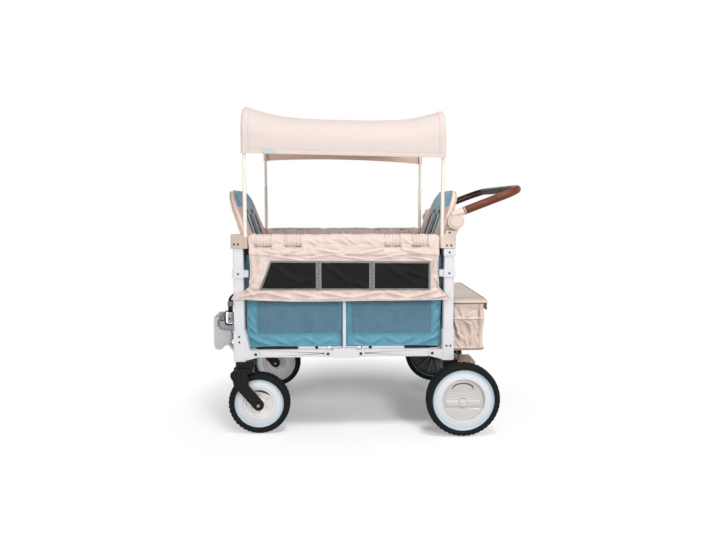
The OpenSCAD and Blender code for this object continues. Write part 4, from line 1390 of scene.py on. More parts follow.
def cuts(a, b, marks, step):
    """Grid lines from a to b with every mark on a line."""
    pts = sorted({a, b, *marks})
    out = [a]
    for p, q in zip(pts[:-1], pts[1:]):
        k = max(1, int(round((q - p) / step)))
        out += [p + (q - p) * i / k for i in range(1, k + 1)]
    return out


def wall_push(x, z, sd, half):
    """Soft rumples of the tub wall: pulled folds in the borders, a calmer mesh field."""
    p3 = np.stack([x.ravel(), z.ravel(), np.full(x.size, 77.0 * sd)], 1)
    ax = np.abs(x).ravel()
    zz = z.ravel()
    border = np.clip((1 - smooth(326, 352, zz)) + smooth(300, 322, ax) + (1 - smooth(14, 32, ax)), 0, 1)
    d = 3.2 * nzf(p3 * np.array([1, 0.8, 1]), 38, 11.0 + sd + half, 3) * (0.25 + border) + 0.8 * nz(p3, 13, 5.0) * border
    folds = [(half * 344, 430, half * 316, 380, 6, 2.6), (half * 340, 390, half * 306, 346, 6, 2.8), (half * 342, 350, half * 280, 318, 7, 3.2),
             (half * 320, 334, half * 262, 312, 6, 2.4), (half * 250, 340, half * 205, 316, 6, 2.4), (half * 190, 318, half * 150, 340, 6, 2.0),
             (half * 140, 342, half * 96, 314, 6, 2.2), (half * 80, 316, half * 36, 342, 6, 2.2), (half * 30, 380, half * 10, 330, 5, 2.0),
             (half * 342, 470, half * 318, 440, 5, 2.0)]
    d = d + 2.4 * crease(np.stack([x.ravel(), zz], 1), folds) * (0.15 + 0.85 * border)
    d = d + 3.0 * np.sin(math.pi * np.clip((ax - 5) / 339, 0, 1)) * np.sin(math.pi * np.clip((zz - 308) / 347, 0, 1))
    hem = np.minimum(zz - 308, 655 - zz)
    d = d * smooth(0, 14, hem) * (0.3 + 0.7 * smooth(0, 10, 346 - ax))
    return d.reshape(x.shape)


def tub_wall(sd, half):
    tag = ("front" if half < 0 else "rear") + "_" + ("left" if sd < 0 else "right")
    end = "front" if half < 0 else "rear"
    win = (19.0, 308.0, 354.0, 630.0) if half < 0 else (27.0, 310.0, 352.0, 630.0)
    us = cuts(4, 342, [win[0], win[1], win[0] - 1.4, win[1] + 1.4, win[0] - 7, win[1] + 7], 4.2)
    vs = cuts(308, 655, [win[2], win[3], win[2] - 1.4, win[3] + 1.4, win[2] - 7, win[3] + 7], 4.6)

    def place(U, V):
        x = half * U
        e = np.maximum(np.maximum(win[0] - U, U - win[1]), np.maximum(win[2] - V, V - win[3]))
        d = wall_push(x, V, sd, half) + 0.9 * (1 - smooth(6.0, 8.0, e)) * (e > -0.1) - 0.5 * np.exp(-((e - 7) / 1.2) ** 2)
        return np.stack([x, sd * (245.6 + d), V], -1)

    ob = panel("tub_wall_" + tag, us, vs, win, place, [M["teal"]], 1.6, None)
    if ob.data.polygons[0].normal.y * sd < 0:
        ob.data.flip_normals()
    solidify(ob, 1.5, -1.0)
    mu = cuts(win[0] - 3, win[1] + 3, [], 6)
    mv = cuts(win[2] - 3, win[3] + 3, [], 6)
    U, V = np.meshgrid(mu, mv, indexing="ij")
    G = np.stack([half * U, sd * (244.6 + wall_push(half * U, V, sd, half)), V], -1)
    mesh = make("tub_mesh_" + tag, G.reshape(-1, 3), grid_faces(len(mu), len(mv)), [M["teal_net"]],
                uv=np.stack([U, V], -1).reshape(-1, 2) / 1000, sharp=60)
    if mesh.data.polygons[0].normal.y * sd < 0:
        mesh.data.flip_normals()
    rows = []
    for d in (2.5, 5.2):
        q = [(win[0] - d, win[2] - d), (win[1] + d, win[2] - d), (win[1] + d, win[3] + d), (win[0] - d, win[3] + d)]
        for a, b in zip(q, q[1:] + q[:1]):
            t = np.linspace(0, 1, 60)
            u, v = a[0] + (b[0] - a[0]) * t, a[1] + (b[1] - a[1]) * t
            y = sd * (245.6 + 0.9 + wall_push(half * u, v, sd, half))
            rows.append((np.stack([half * u, y, v], 1), (0, sd, 0)))
    st = stitches("tub_stitches_" + tag, rows, [M["thread_teal"]], end + "_end", 5.0, 3.2, 0.4, 0.1)
    # bound lower edge and the sleeve that holds the wall to its corner post
    u = np.linspace(6, 341, 90)
    y = sd * (244.8 + wall_push(half * u, np.full(90, 308.0), sd, half))
    hem = tube("hem", np.stack([half * u, y, 309.5 + 1.3 * np.sin(u / 31.0)], 1), 2.6, [M["teal"]], 10, flat=1.5, up=(0, 0, 1))
    z = np.linspace(312, 652, 70)
    p3 = np.stack([np.full(70, half * 341.5), np.full(70, sd * 246.0), z], 1)
    side = tube("sleeve", p3 + np.stack([0.8 * np.sin(z / 23.0), 0.6 * np.sin(z / 31.0), 0 * z], 1), 3.0, [M["teal"]], 12)
    trim = join("tub_edges_" + tag, [hem, side], end + "_end")
    for o in (ob, mesh):
        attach(o, end + "_end")
    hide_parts(end + "_side_walls")
    for o in (ob, mesh, st, trim):
        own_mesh(o)


for sd in (-1, 1):
    for half in (-1, 1):
        tub_wall(sd, half)


def end_panel(half):
    """The tub's end: bordered mesh like the sides, with a sleeve over the top bar."""
    end = "front" if half < 0 else "rear"
    win = (-196.0, 196.0, 372.0, 600.0)
    us = cuts(-241, 241, [win[0], win[1], win[0] - 1.4, win[1] + 1.4, win[0] - 7, win[1] + 7], 5)
    vs = cuts(308, 668, [win[2], win[3], win[2] - 1.4, win[3] + 1.4, win[2] - 7, win[3] + 7], 5)

    def push(U, V):
        p3 = np.stack([U.ravel(), V.ravel(), np.full(U.size, 55.0 * half)], 1)
        e = np.maximum(np.maximum(win[0] - U, U - win[1]), np.maximum(win[2] - V, V - win[3])).ravel()
        b = smooth(-6, 6, e)
        d = 1.5 * nzf(p3, 44, 21.0 + half, 3) * (0.3 + b)
        d = d + crease(np.stack([U.ravel(), V.ravel()], 1), [(-236, 420, -200, 360, 7, 2.2), (236, 430, 200, 360, 7, 2.2), (-180, 352, -120, 320, 7, 2.4),
                                                             (-60, 322, 0, 352, 7, 2.0), (60, 350, 130, 318, 7, 2.4), (-220, 640, -150, 612, 6, 2.0),
                                                             (-60, 640, 40, 616, 6, 2.0), (120, 616, 200, 644, 6, 2.0)]) * (0.15 + 0.85 * b)
        rim = np.minimum(np.minimum(V.ravel() - 308, 668 - V.ravel()), 241 - np.abs(U.ravel()))
        return (np.clip(d, -2.6, 2.6) * smooth(0, 12, rim)).reshape(U.shape), e.reshape(U.shape)

    def place(U, V):
        d, e = push(U, V)
        d = d + 0.8 * (1 - smooth(6.0, 8.0, e)) * (e > -0.1)
        lean = 2.0 * smooth(640, 668, V)
        return np.stack([half * (364.6 + d + lean), U, V], -1)

    ob = panel("end_panel_" + end, us, vs, win, place, [M["teal"]], 1.6, None)
    if ob.data.polygons[0].normal.x * half < 0:
        ob.data.flip_normals()
    solidify(ob, 1.5, -1.0)
    mu, mv = cuts(win[0] - 3, win[1] + 3, [], 7), cuts(win[2] - 3, win[3] + 3, [], 7)
    U, V = np.meshgrid(mu, mv, indexing="ij")
    G = np.stack([half * (363.6 + push(U, V)[0]), U, V], -1)
    mesh = make("end_mesh_" + end, G.reshape(-1, 3), grid_faces(len(mu), len(mv)), [M["teal_net"]],
                uv=np.stack([U, V], -1).reshape(-1, 2) / 1000, sharp=60)
    rows = []
    for d in (2.5, 5.2):
        q = [(win[0] - d, win[2] - d), (win[1] + d, win[2] - d), (win[1] + d, win[3] + d), (win[0] - d, win[3] + d)]
        for a, b in zip(q, q[1:] + q[:1]):
            t = np.linspace(0, 1, 70)
            u, v = a[0] + (b[0] - a[0]) * t, a[1] + (b[1] - a[1]) * t
            rows.append((np.stack([half * (365.4 + push(u, v)[0]), u, v], 1), (half, 0, 0)))
    st = stitches("end_stitches_" + end, rows, [M["thread_teal"]], end + "_end", 5.0, 3.2, 0.4, 0.1)
    # padded sleeve round the top cross bar
    ys = np.linspace(-232, 232, 130)
    ph = np.linspace(0, 2 * math.pi, 36, endpoint=False)
    Yg, Ph = np.meshgrid(ys, ph, indexing="ij")
    p = np.stack([14 * np.cos(Ph), Yg, 14 * np.sin(Ph)], -1).reshape(-1, 3)
    r = 12.2 + (0.7 * nzf(p * np.array([1, 0.6, 1]), 34, 31 + half, 3) + 0.4 * nz(p, 11, 33)).reshape(Yg.shape)
    r = r - 1.4 * np.exp(-((np.abs(Yg) - 222) / 2.0) ** 2) - 2.0 * smooth(226, 232, np.abs(Yg))
    R = np.stack([half * 378.5 + r * np.cos(Ph), Yg, 684 + r * np.sin(Ph)], -1)
    sl = rings("top_bar_sleeve_" + end, R, [M["cream"]], caps=True, sharp=60)
    sl_st = stitches("sleeve_stitches_" + end, [(np.stack([np.full(130, half * 378.5 + half * 5.0), ys, np.full(130, 684 - 11.4)], 1)[4:-4], (half * 0.4, 0, -1))],
                     [M["thread"]], end + "_end", 5.0, 3.2, 0.45)
    hem = tube("hem", np.stack([np.full(80, half * 364.2), np.linspace(-238, 238, 80), np.full(80, 309.5)], 1), 2.6, [M["teal"]], 10, flat=1.4, up=(0, 0, 1))
    hem = join("end_hem_" + end, [hem], end + "_end")
    for o in (ob, mesh, sl):
        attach(o, end + "_end")
    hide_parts(end + "_end_panel")
    return ob


for half in (-1, 1):
    end_panel(half)


# -------------------------------------------------------------------- seats
from mathutils.bvhtree import BVHTree

LEAN = math.radians(18.2)
HINGE = (-260.0, 416.0)
BACK_W, BACK_L = 183.0, 474.0


def back_at(half, t, y, s):
    """Seat-back place: t forwards of the mid plane, y across, s up the back."""
    t, y, s = np.broadcast_arrays(np.asarray(t, float), np.asarray(y, float), np.asarray(s, float))
    x = HINGE[0] + t * math.cos(LEAN) - s * math.sin(LEAN)
    z = HINGE[1] + t * math.sin(LEAN) + s * math.cos(LEAN)
    return np.stack([x * (-half), y, z], -1)


def back_outline(n, inset=0.0):
    """The back's outline (y, s) from the bottom middle round, n points."""
    r = 66.0
    w, L = BACK_W - inset, BACK_L - inset
    lo = 4.0 + inset
    p = [(0, lo), (w - 26, lo)]
    p += [(w - 26 + 26 * math.sin(a), lo + 26 - 26 * math.cos(a)) for a in np.linspace(0.1, math.pi / 2, 6)]
    p += [(w, L - r)]
    p += [(w - r + r * math.cos(a), L - r + r * math.sin(a)) for a in np.linspace(0.08, math.pi / 2, 14)]
    p += [(0, L)]
    q = [(-a, b) for a, b in p[::-1]][1:-1]
    p = np.array(p + q + [p[0]])
    d = np.concatenate([[0], np.cumsum(np.hypot(*np.diff(p, axis=0).T))])
    s = np.linspace(0, d[-1], n, endpoint=False)
    return np.stack([np.interp(s, d, p[:, 0]), np.interp(s, d, p[:, 1])], 1)


def back_front(y, s):
    """Front face of the back: soft bolsters down both sides, hollow between them."""
    y, s = np.abs(np.asarray(y, float)), np.asarray(s, float)
    edge = 19.0 - 9.5 * smooth(230, 460, s)
    hollow = 11.0 * (1 - smooth(116, 150, y)) * (1 - 0.75 * smooth(300, 440, s))
    return edge - hollow


def inflate(ob, pressure, cap, frames=20, pin=None):
    """Cloth under pressure, its movement limited to cap (mm); the result becomes the mesh."""
    me = ob.data
    n = len(me.vertices)
    before = np.zeros(n * 3)
    me.vertices.foreach_get("co", before)
    before = before.reshape(-1, 3)
    m = ob.modifiers.new("cloth", "CLOTH")
    c = m.settings
    c.quality = 5
    c.mass = 0.3
    c.tension_stiffness = c.compression_stiffness = 18
    c.shear_stiffness = 8
    c.bending_stiffness = 0.6
    c.use_pressure = True
    c.uniform_pressure_force = pressure
    c.effector_weights.gravity = 0
    m.collision_settings.use_collision = False
    m.point_cache.frame_start, m.point_cache.frame_end = 1, frames
    for f in range(1, frames + 1):
        SCENE.frame_set(f)
    dg = bpy.context.evaluated_depsgraph_get()
    ev = ob.evaluated_get(dg)
    after = np.zeros(n * 3)
    ev.data.vertices.foreach_get("co", after)
    after = after.reshape(-1, 3)
    ob.modifiers.remove(m)
    SCENE.frame_set(1)
    d = after - before
    L = np.linalg.norm(d, axis=1)
    k = np.minimum(1.0, cap / 1000 / np.maximum(1e-9, L))
    if pin is not None:
        k = k * pin(before)
    me.vertices.foreach_set("co", (before + d * k[:, None]).ravel())
    me.update()


def remesh(ob, mm):
    m = ob.modifiers.new("remesh", "REMESH")
    m.mode = "VOXEL"
    m.voxel_size = mm / 1000
    bake_mods(ob)


def mesh_co(me):
    co = np.zeros(len(me.vertices) * 3)
    me.vertices.foreach_get("co", co)
    return co.reshape(-1, 3)


def local_of(co):
    """Row-frame metres of the front back to (t, y, s)."""
    x = co[:, 0] * 1000 + XM - HINGE[0]
    z = co[:, 2] * 1000 - HINGE[1]
    return x * math.cos(LEAN) + z * math.sin(LEAN), co[:, 1] * 1000, -x * math.sin(LEAN) + z * math.cos(LEAN)


def back_pad():
    """The padded back, built for the front seat."""
    m = 120
    rows = []
    for ins, side in ((60, -1), (22, -1), (9, -1), (3.0, -1), (0.6, -1), (0.6, 1), (3.0, 1), (9, 1), (22, 1), (60, 1)):
        q = back_outline(m, ins)
        if side < 0:
            t = np.full(m, -19.0 + {60: 0, 22: 0, 9: 1.5, 3.0: 5.0, 0.6: 9.0}[ins])
        else:
            t = back_front(q[:, 0], q[:, 1]) - {60: 0, 22: 0.0, 9: 1.2, 3.0: 4.0, 0.6: 8.0}[ins]
        rows.append(back_at(-1, t, q[:, 0], q[:, 1]))
    R = np.stack(rows)
    ob = rings("seat_back_work", R, [M["teal_pad"]], caps=False, closed=True, sharp=0)
    # the two faces are filled as grids so that the bolsters and the hollow hold their shape
    bm = bmesh.new()
    bm.from_mesh(ob.data)
    skin = list(bm.verts)
    for row, side in ((0, -1), (9, 1)):
        ins = back_outline(m, 60)
        inner = []
        for f in (0.72, 0.46, 0.22):
            c = np.array([0.0, BACK_L / 2])
            q = c + (ins - c) * f
            t = np.full(m, -19.0) if side < 0 else back_front(q[:, 0], q[:, 1])
            inner.append([bm.verts.new(v) for v in W(back_at(-1, t, q[:, 0], q[:, 1]))])
        loops = [skin[row * m:row * m + m]] + inner
        for a, b in zip(loops[:-1], loops[1:]):
            for k in range(m):
                bm.faces.new((a[k], a[(k + 1) % m], b[(k + 1) % m], b[k]))
        bm.faces.new(loops[-1])
    bmesh.ops.recalc_face_normals(bm, faces=bm.faces)
    bm.to_mesh(ob.data)
    bm.free()
    remesh(ob, 5.0)
    inflate(ob, 4.0, 5.0)
    # sewn lines press in, cloth gathers a little beside them
    me = ob.data
    co = mesh_co(me)
    t, y, s = local_of(co)
    front = smooth(-4, 6, t)
    d = -3.4 * np.exp(-((s - 372) / 4.0) ** 2) * (1 - smooth(126, 150, np.abs(y)))
    d = d - 2.8 * np.exp(-((np.abs(y) - 128) / 4.0) ** 2) * smooth(20, 60, s) * (1 - smooth(392, 420, s))
    d = d - 2.2 * np.exp(-((s - 120) / 4.0) ** 2) * (1 - smooth(112, 128, np.abs(y)))
    p3 = np.stack([y, s, t], 1)
    wr = 1.3 * nzf(p3 * np.array([0.6, 1, 1]), 34, 41, 3) + 0.8 * nz(p3, 13, 43) * np.exp(-((s - 372) / 26) ** 2)
    co += np.outer(front * (d + wr) / 1000, [math.cos(LEAN), 0, math.sin(LEAN)])
    co += np.outer((1 - front) * 0.8 * nzf(p3, 40, 47, 2) / 1000 * np.sign(t), [math.cos(LEAN), 0, math.sin(LEAN)])
    me.vertices.foreach_set("co", co.ravel())
    me.update()
    subsurf(ob, 1)
    return ob


def zone_back(co, nor):
    """Material per face of the back: 0 teal front, 1 beige gusset and rear in a lighter cloth (painted light against
    the canopy's shade), 2 tan bolsters.
    """
    t, y, s = local_of(co)
    nt = nor[:, 0] * math.cos(LEAN) + nor[:, 2] * math.sin(LEAN)
    q = np.minimum(BACK_W - np.abs(y), BACK_L - s)
    ca = np.hypot(np.maximum(0, np.abs(y) - (BACK_W - 66)), np.maximum(0, s - (BACK_L - 66)))
    q = np.minimum(q, np.where((np.abs(y) > BACK_W - 66) & (s > BACK_L - 66), 66 - ca, 999))
    f = back_front(y, s)
    out = np.full(len(t), 1)
    on_front = (t > f - 9.5) & (q > 3.5) & (nt > 0.1)
    out[on_front] = 0
    out[on_front & (np.abs(y) > 129) & (s < 405)] = 2
    return out


def paint(ob, mats, zone):
    me = ob.data
    me.materials.clear()
    for m in mats:
        me.materials.append(m)
    n = len(me.polygons)
    c = np.zeros(n * 3)
    me.polygons.foreach_get("center", c)
    k = np.zeros(n * 3)
    me.polygons.foreach_get("normal", k)
    me.polygons.foreach_set("material_index", zone(c.reshape(-1, 3), k.reshape(-1, 3)).astype(np.int32))
    me.update()


def near(tree, pts_mm):
    out, nor = [], []
    for p in W(pts_mm):
        loc, n, i, d = tree.find_nearest(Vector(p))
        out.append(np.array(loc) * 1000 + np.array([XM, 0, 0]))
        nor.append(np.array(n))
    return np.array(out), np.array(nor)


def cast(tree, pts_mm, direction):
    """Where rays along direction meet the surface; points that miss keep their place."""
    out = []
    for p in W(pts_mm):
        loc, n, i, d = tree.ray_cast(Vector(p), Vector(direction))
        out.append((np.array(loc) if loc is not None else np.array(p)) * 1000 + np.array([XM, 0, 0]))
    return np.array(out)


def mirror_x(ob, name):
    """A copy for the other end."""
    me = ob.data.copy()
    co = mesh_co(me)
    co[:, 0] = -(co[:, 0] + XM / 1000) - XM / 1000
    me.vertices.foreach_set("co", co.ravel())
    me.flip_normals()
    me.update()
    o = bpy.data.objects.new(name, me)
    COLL.objects.link(o)
    return o


def seat_back():
    ob = back_pad()
    paint(ob, [M["teal_pad"], M["gusset"], M["tan"]], zone_back)
    box_uv(ob.data)
    bm = bmesh.new()
    bm.from_mesh(ob.data)
    tree = BVHTree.FromBMesh(bm)
    bm.free()
    bits, rows = [], []
    into = (-math.cos(LEAN), 0, -math.sin(LEAN))
    for ins, side in ((1.4, 1), (1.4, -1)):
        q = back_outline(220, ins)
        t = back_front(q[:, 0], q[:, 1]) - 4.5 if side > 0 else np.full(220, -14.0)
        p, n = near(tree, back_at(-1, t, q[:, 0], q[:, 1]))
        p = p + n * 0.9
        bits.append(tube("piping", p, 2.6, [M["tan"]], 10, closed=True))
        tt = back_front(q[:, 0], q[:, 1]) - 10.0 if side > 0 else np.full(220, -8.5)
        rows.append(near(tree, back_at(-1, tt, q[:, 0], q[:, 1])))
    # the seams between the bolsters and the middle, and across the middle
    ss = np.linspace(16, 404, 90)
    for sy in (-1, 1):
        p = cast(tree, back_at(-1, 60, np.full(90, sy * 128.5), ss), into)
        bits.append(tube("seam", p + np.array([1.0, 0, 0.2]), 1.5, [M["tan"]], 8))
    yy = np.linspace(-126, 126, 70)
    for s0 in (404.5, 394.5):
        p = cast(tree, back_at(-1, 60, yy, np.full(70, s0)), into)
        rows.append((p, -np.array(into)))
    trim = join("seat_back_piping_front", bits)
    st = stitches("seat_back_stitches_front", rows, [M["thread"]], None, 5.2, 3.3, 0.42, 0.2)

    # shoulder straps with pads, waist straps, and slots they come through
    har = []
    for sy in (-1, 1):
        y0 = sy * 52.0
        sl = back_at(-1, 60, np.linspace(y0 - 17, y0 + 17, 12), np.full(12, 388.0))
        p = cast(tree, sl, into)
        har.append(strap("slot", p + np.array([0.6, 0, 0.2]), -np.array(into), 9.0, 1.6, [M["web_black"]], rib=False))
        ss = np.concatenate([[387, 384, 380], np.linspace(374, 60, 66)])
        yy = y0 + sy * 10.0 * smooth(150, 366, ss) - sy * 26.0 * (1 - smooth(40, 190, ss))
        face = cast(tree, back_at(-1, 60, yy, ss), into)
        lift = np.concatenate([[-1.0, 1.2, 2.6], np.full(66, 3.2)]) + 9.0 * (1 - smooth(60, 170, ss))
        line = face - np.array(into) * lift[:, None]
        har.append(strap("shoulder", line, -np.array(into), 25.0, 1.6, [M["web_black"]]))
        sel = (ss < 378) & (ss > 176)
        c = line[sel] - np.array(into) * 1.0
        L = len(c)
        u = np.linspace(0, 1, L)
        wid = 25.0 * (1 - 0.18 * smooth(0.86, 1.0, u) - 0.18 * (1 - smooth(0.0, 0.1, u)))
        th = np.linspace(0, 2 * math.pi, 28, endpoint=False)
        tg = np.gradient(c, axis=0)
        tg /= np.linalg.norm(tg, axis=1)[:, None]
        nn = -np.array(into)[None, :] - ((-np.array(into)) @ tg.T)[:, None] * tg
        nn /= np.linalg.norm(nn, axis=1)[:, None]
        bb = np.cross(tg, nn)
        puff = (6.2 + 0.9 * np.sin(u * 40)) * (0.35 + 0.65 * np.sqrt(np.clip(1 - (2 * u - 1) ** 8, 0, 1)))
        ce = np.sign(np.cos(th)) * np.abs(np.cos(th)) ** 0.55
        se = np.sign(np.sin(th)) * np.abs(np.sin(th)) ** 0.8
        R = c[:, None, :] + bb[:, None, :] * (wid[:, None] * ce[None, :])[..., None] + nn[:, None, :] * (puff[:, None] * (se[None, :] * np.where(se > 0, 1.0, 0.35)[None, :]))[..., None]
        pad = rings("pad", R, [M["web_black"]], sharp=60)
        har.append(pad)
        for e in (0, 14):
            har.append(tube("pad_edge", R[:, e, :] + nn * 0.4, 3.0, [M["web_light"]], 10))
        for j in (0, L - 1):
            har.append(tube("pad_end", R[j, :15, :], 1.5, [M["web_light"]], 8))
        # a bar-tack band across each pad
        k = int(L * 0.62)
        band = R[k, 0:15, :] + nn[k] * 0.6
        har.append(strap("band", band, nn[k], 9.0, 1.0, [M["web_light"]]))
        # waist strap from the side of the back
        ss = np.full(30, 34.0)
        yy = np.linspace(sy * 150, sy * 42, 30)
        face = cast(tree, back_at(-1, 60, yy, ss), into)
        out = 4.0 + 26.0 * np.linspace(0, 1, 30) ** 1.6
        line = face - np.array(into) * out[:, None] + np.outer(np.linspace(0, 1, 30) ** 1.4, [0, 0, 25.0])
        har.append(strap("waist", line, -np.array(into), 25.0, 1.6, [M["web_black"]]))
        adj = line[14:17].mean(0)
        for dy in (-9, 0, 9):
            har.append(tube("slider", [adj + np.array([1.8, dy, -13.5]), adj + np.array([1.8, dy, 13.5])], 1.9, [M["grey"]], 8))
    harness = join("harness_straps_front", har)
    # buckle in front of the belly, with its crotch strap
    bx, bz = -218.0, 468.0
    ang = math.radians(24)
    body = prism("buckle", rrect(-23, -27, 23, 27, 12), "x", -8, 8, [M["grey"]], 3.0, 3)
    btn = prism("button", rrect(-9, -11, 9, 11, 6), "x", 7.2, 10.2, [M["black"]], 1.2, 2)
    tongues = [prism("tongue", rrect(sy * 34 - 13, -8, sy * 34 + 13, 8, 4), "x", -3, 3, [M["grey"]], 1.2, 2) for sy in (-1, 1)]
    for o in [body, btn] + tongues:
        co = mesh_co(o.data) * 1000
        co[:, 0] += XM
        x, z = co[:, 0].copy(), co[:, 2].copy()
        co[:, 0] = bx + x * math.cos(ang) - z * math.sin(ang)
        co[:, 2] = bz + x * math.sin(ang) + z * math.cos(ang)
        o.data.vertices.foreach_set("co", W(co).ravel())
        o.data.update()
    buckle = join("harness_buckle_front", [body, btn] + tongues)
    return [ob, trim, st, harness], buckle


def base_pad():
    """The seat cushion, built for the front seat."""
    x0, x1, w, z0, z1 = -288.0, -101.0, 187.0, 303.0, 392.0
    n = 96
    rows = []
    for zz, ins in ((z0, 26), (z0, 7), (z0 + 3, 2), (z0 + 14, 0.5), (z1 - 22, 0.5), (z1 - 8, 2.5), (z1 - 1.5, 9), (z1, 24)):
        q = np.array(rrect(x0 + ins, -w + ins, x1 - ins, w - ins, max(6, 26 - ins * 0.3), 8))
        d = np.concatenate([[0], np.cumsum(np.hypot(*np.diff(np.vstack([q, q[:1]]), axis=0).T))])
        s = np.linspace(0, d[-1], n, endpoint=False)
        qq = np.vstack([q, q[:1]])
        q = np.stack([np.interp(s, d, qq[:, 0]), np.interp(s, d, qq[:, 1])], 1)
        rows.append(np.column_stack([q, np.full(n, zz)]))
    ob = rings("seat_base_work", np.stack(rows), [M["teal_pad"]], sharp=0)
    remesh(ob, 6.0)
    inflate(ob, 4.0, 6.0, pin=lambda c: smooth(z0 / 1000, z0 / 1000 + 0.02, c[:, 2]))
    me = ob.data
    co = mesh_co(me)
    x, y, z = co[:, 0] * 1000 + XM, co[:, 1] * 1000, co[:, 2] * 1000
    top = smooth(z1 - 16, z1 - 2, z)
    crown = 5.0 * (1 - ((x - (x0 + x1) / 2) / 95) ** 2) * (1 - (y / 190) ** 2)
    sewn = -3.0 * np.exp(-((np.abs(y) - 122) / 4.0) ** 2) - 2.4 * np.exp(-((x + 150) / 4.0) ** 2) * (np.abs(y) < 122)
    p3 = np.stack([x, y, z], 1)
    dz = top * (np.maximum(0, crown) - 3.5 + sewn + 1.2 * nzf(p3, 36, 51, 3))
    side = (1 - top) * smooth(z0 + 4, z0 + 20, z)
    wob = 1.4 * nzf(p3 * np.array([1, 1, 0.6]), 40, 53, 3) * side
    co[:, 2] += dz / 1000
    co[:, 0] += wob / 1000 * np.sign(x - (x0 + x1) / 2) * (np.abs(y) < 182)
    me.vertices.foreach_set("co", co.ravel())
    me.update()
    subsurf(ob, 1)

    def zone(c, nor):
        return np.where((nor[:, 2] > 0.35) & (c[:, 2] > 0.36), np.where(np.abs(c[:, 1]) > 0.122, 2, 0), 1)

    paint(ob, [M["teal_pad"], M["teal"], M["tan"]], zone)
    box_uv(ob.data)
    bm = bmesh.new()
    bm.from_mesh(ob.data)
    tree = BVHTree.FromBMesh(bm)
    bm.free()
    q = resample(np.column_stack([np.array(rrect(x0 + 2.5, -w + 2.5, x1 - 2.5, w - 2.5, 26, 10)), np.full(44, z1 - 6)]), 7, True)
    p, nn = near(tree, q)
    bits = [tube("piping", p + nn * 0.8, 2.6, [M["tan"]], 10, closed=True)]
    for sy in (-1, 1):
        xx = np.linspace(x0 + 14, x1 - 10, 50)
        p = cast(tree, np.column_stack([xx, np.full(50, sy * 122.5), np.full(50, 470.0)]), (0, 0, -1))
        bits.append(tube("seam", p + np.array([0, 0, 1.0]), 1.4, [M["tan"]], 8))
    trim = join("seat_base_piping_front", bits)
    # crotch strap: up out of the cushion to the buckle
    p = round_path([(-176, 0, 388), (-178, 0, 404), (-200, 0, 430), (-207, 0, 447)], 14)
    cs = strap("crotch", p, (1, 0, 0.6), 28, 1.8, [M["web_black"]])
    pad = strap("crotch_pad", round_path([(-177, 0, 399), (-181, 0, 409), (-198, 0, 429)], 10) + np.array([2.4, 0, 1.2]), (1, 0, 0.6), 38, 5, [M["teal_pad"]], rib=False)
    hs = join("crotch_strap_front", [cs, pad])
    return [ob, trim], hs


back_set, buckle = seat_back()
base_set, crotch = base_pad()
for half, end in ((-1, "front"), (1, "rear")):
    if half < 0:
        bs, bk, ss, cr = back_set, buckle, base_set, crotch
    else:
        ren = lambda o: mirror_x(o, o.name.replace("front", "rear").replace("_work", "_tmp"))
        bs, bk, ss, cr = [ren(o) for o in back_set], ren(buckle), [ren(o) for o in base_set], ren(crotch)
    bs[0].name, ss[0].name = "seat_back_" + end, "seat_base_" + end
    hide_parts(end + "_seat_back")
    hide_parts(end + "_seat_base")
    for o in bs + [bk, cr]:
        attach(o, end + "_back")
    for o in ss:
        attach(o, end + "_end")
    for o in bs + [bk, cr]:
        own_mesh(o)
    for o in ss:
        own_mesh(o)


# ---------------------------------------------------------------- rear bag
M["bag"] = fabric("bag_cloth", "#e4d1c6", "#d0b9ac", 1.3, 0.78, 0.15, 0.22, 0.55, 0.35, 0.6)
M["bag_lid"] = fabric("bag_lid_cloth", "#dccbc0", "#ccb8ac", 1.3, 0.8, 0.15, 0.22, 0.5, 0.35, 0.6)

SIDE_FOLDS = [(384, 396, 522, 397, 3.0, 3.0), (384, 390, 522, 391, 4.0, -2.6), (431, 400, 469, 420, 4, 4.2), (431, 400, 421, 436, 4, 3.6),
              (397, 436, 407, 401, 5, 3.6), (445, 436, 500, 428, 5, -2.4), (391, 389, 412, 329, 5, -8.0), (404, 382, 421, 330, 5, 4.0),
              (429, 394, 460, 375, 4, 4.8), (460, 375, 464, 341, 4, 4.2), (440, 378, 455, 346, 7, -5.0), (402, 348, 436, 325, 4.5, 5.2),
              (440, 338, 452, 296, 4, 4.4), (469, 332, 459, 296, 4, 4.4), (480, 336, 492, 300, 4, 3.8), (412, 318, 428, 294, 4, 3.4),
              (505, 402, 506, 340, 3.5, 3.6), (497, 396, 494, 345, 3.5, -3.0), (470, 390, 488, 360, 5, 3.0)]
REAR_FOLDS = [(-222, 396, 222, 397, 3.0, 2.6), (-222, 390, 222, 391, 4.0, -2.4), (-190, 436, -140, 404, 5, 3.4), (-96, 440, -60, 402, 5, 3.0),
              (-20, 402, 46, 436, 5, 3.4), (96, 438, 120, 404, 5, 3.2), (150, 404, 200, 432, 5, 3.4), (-196, 380, -150, 330, 6, 4.6),
              (-150, 330, -132, 296, 5, 3.6), (-110, 386, -70, 350, 6, 4.0), (-64, 330, -20, 304, 6, 4.2), (-10, 378, 38, 338, 6, 4.6),
              (52, 322, 70, 294, 5, 3.6), (86, 384, 120, 346, 6, 4.2), (126, 332, 172, 306, 6, 4.2), (176, 384, 196, 336, 5, 3.6),
              (-180, 312, -160, 294, 5, 3.0), (10, 312, -8, 292, 5, 3.0), (200, 316, 188, 292, 5, 3.0)]


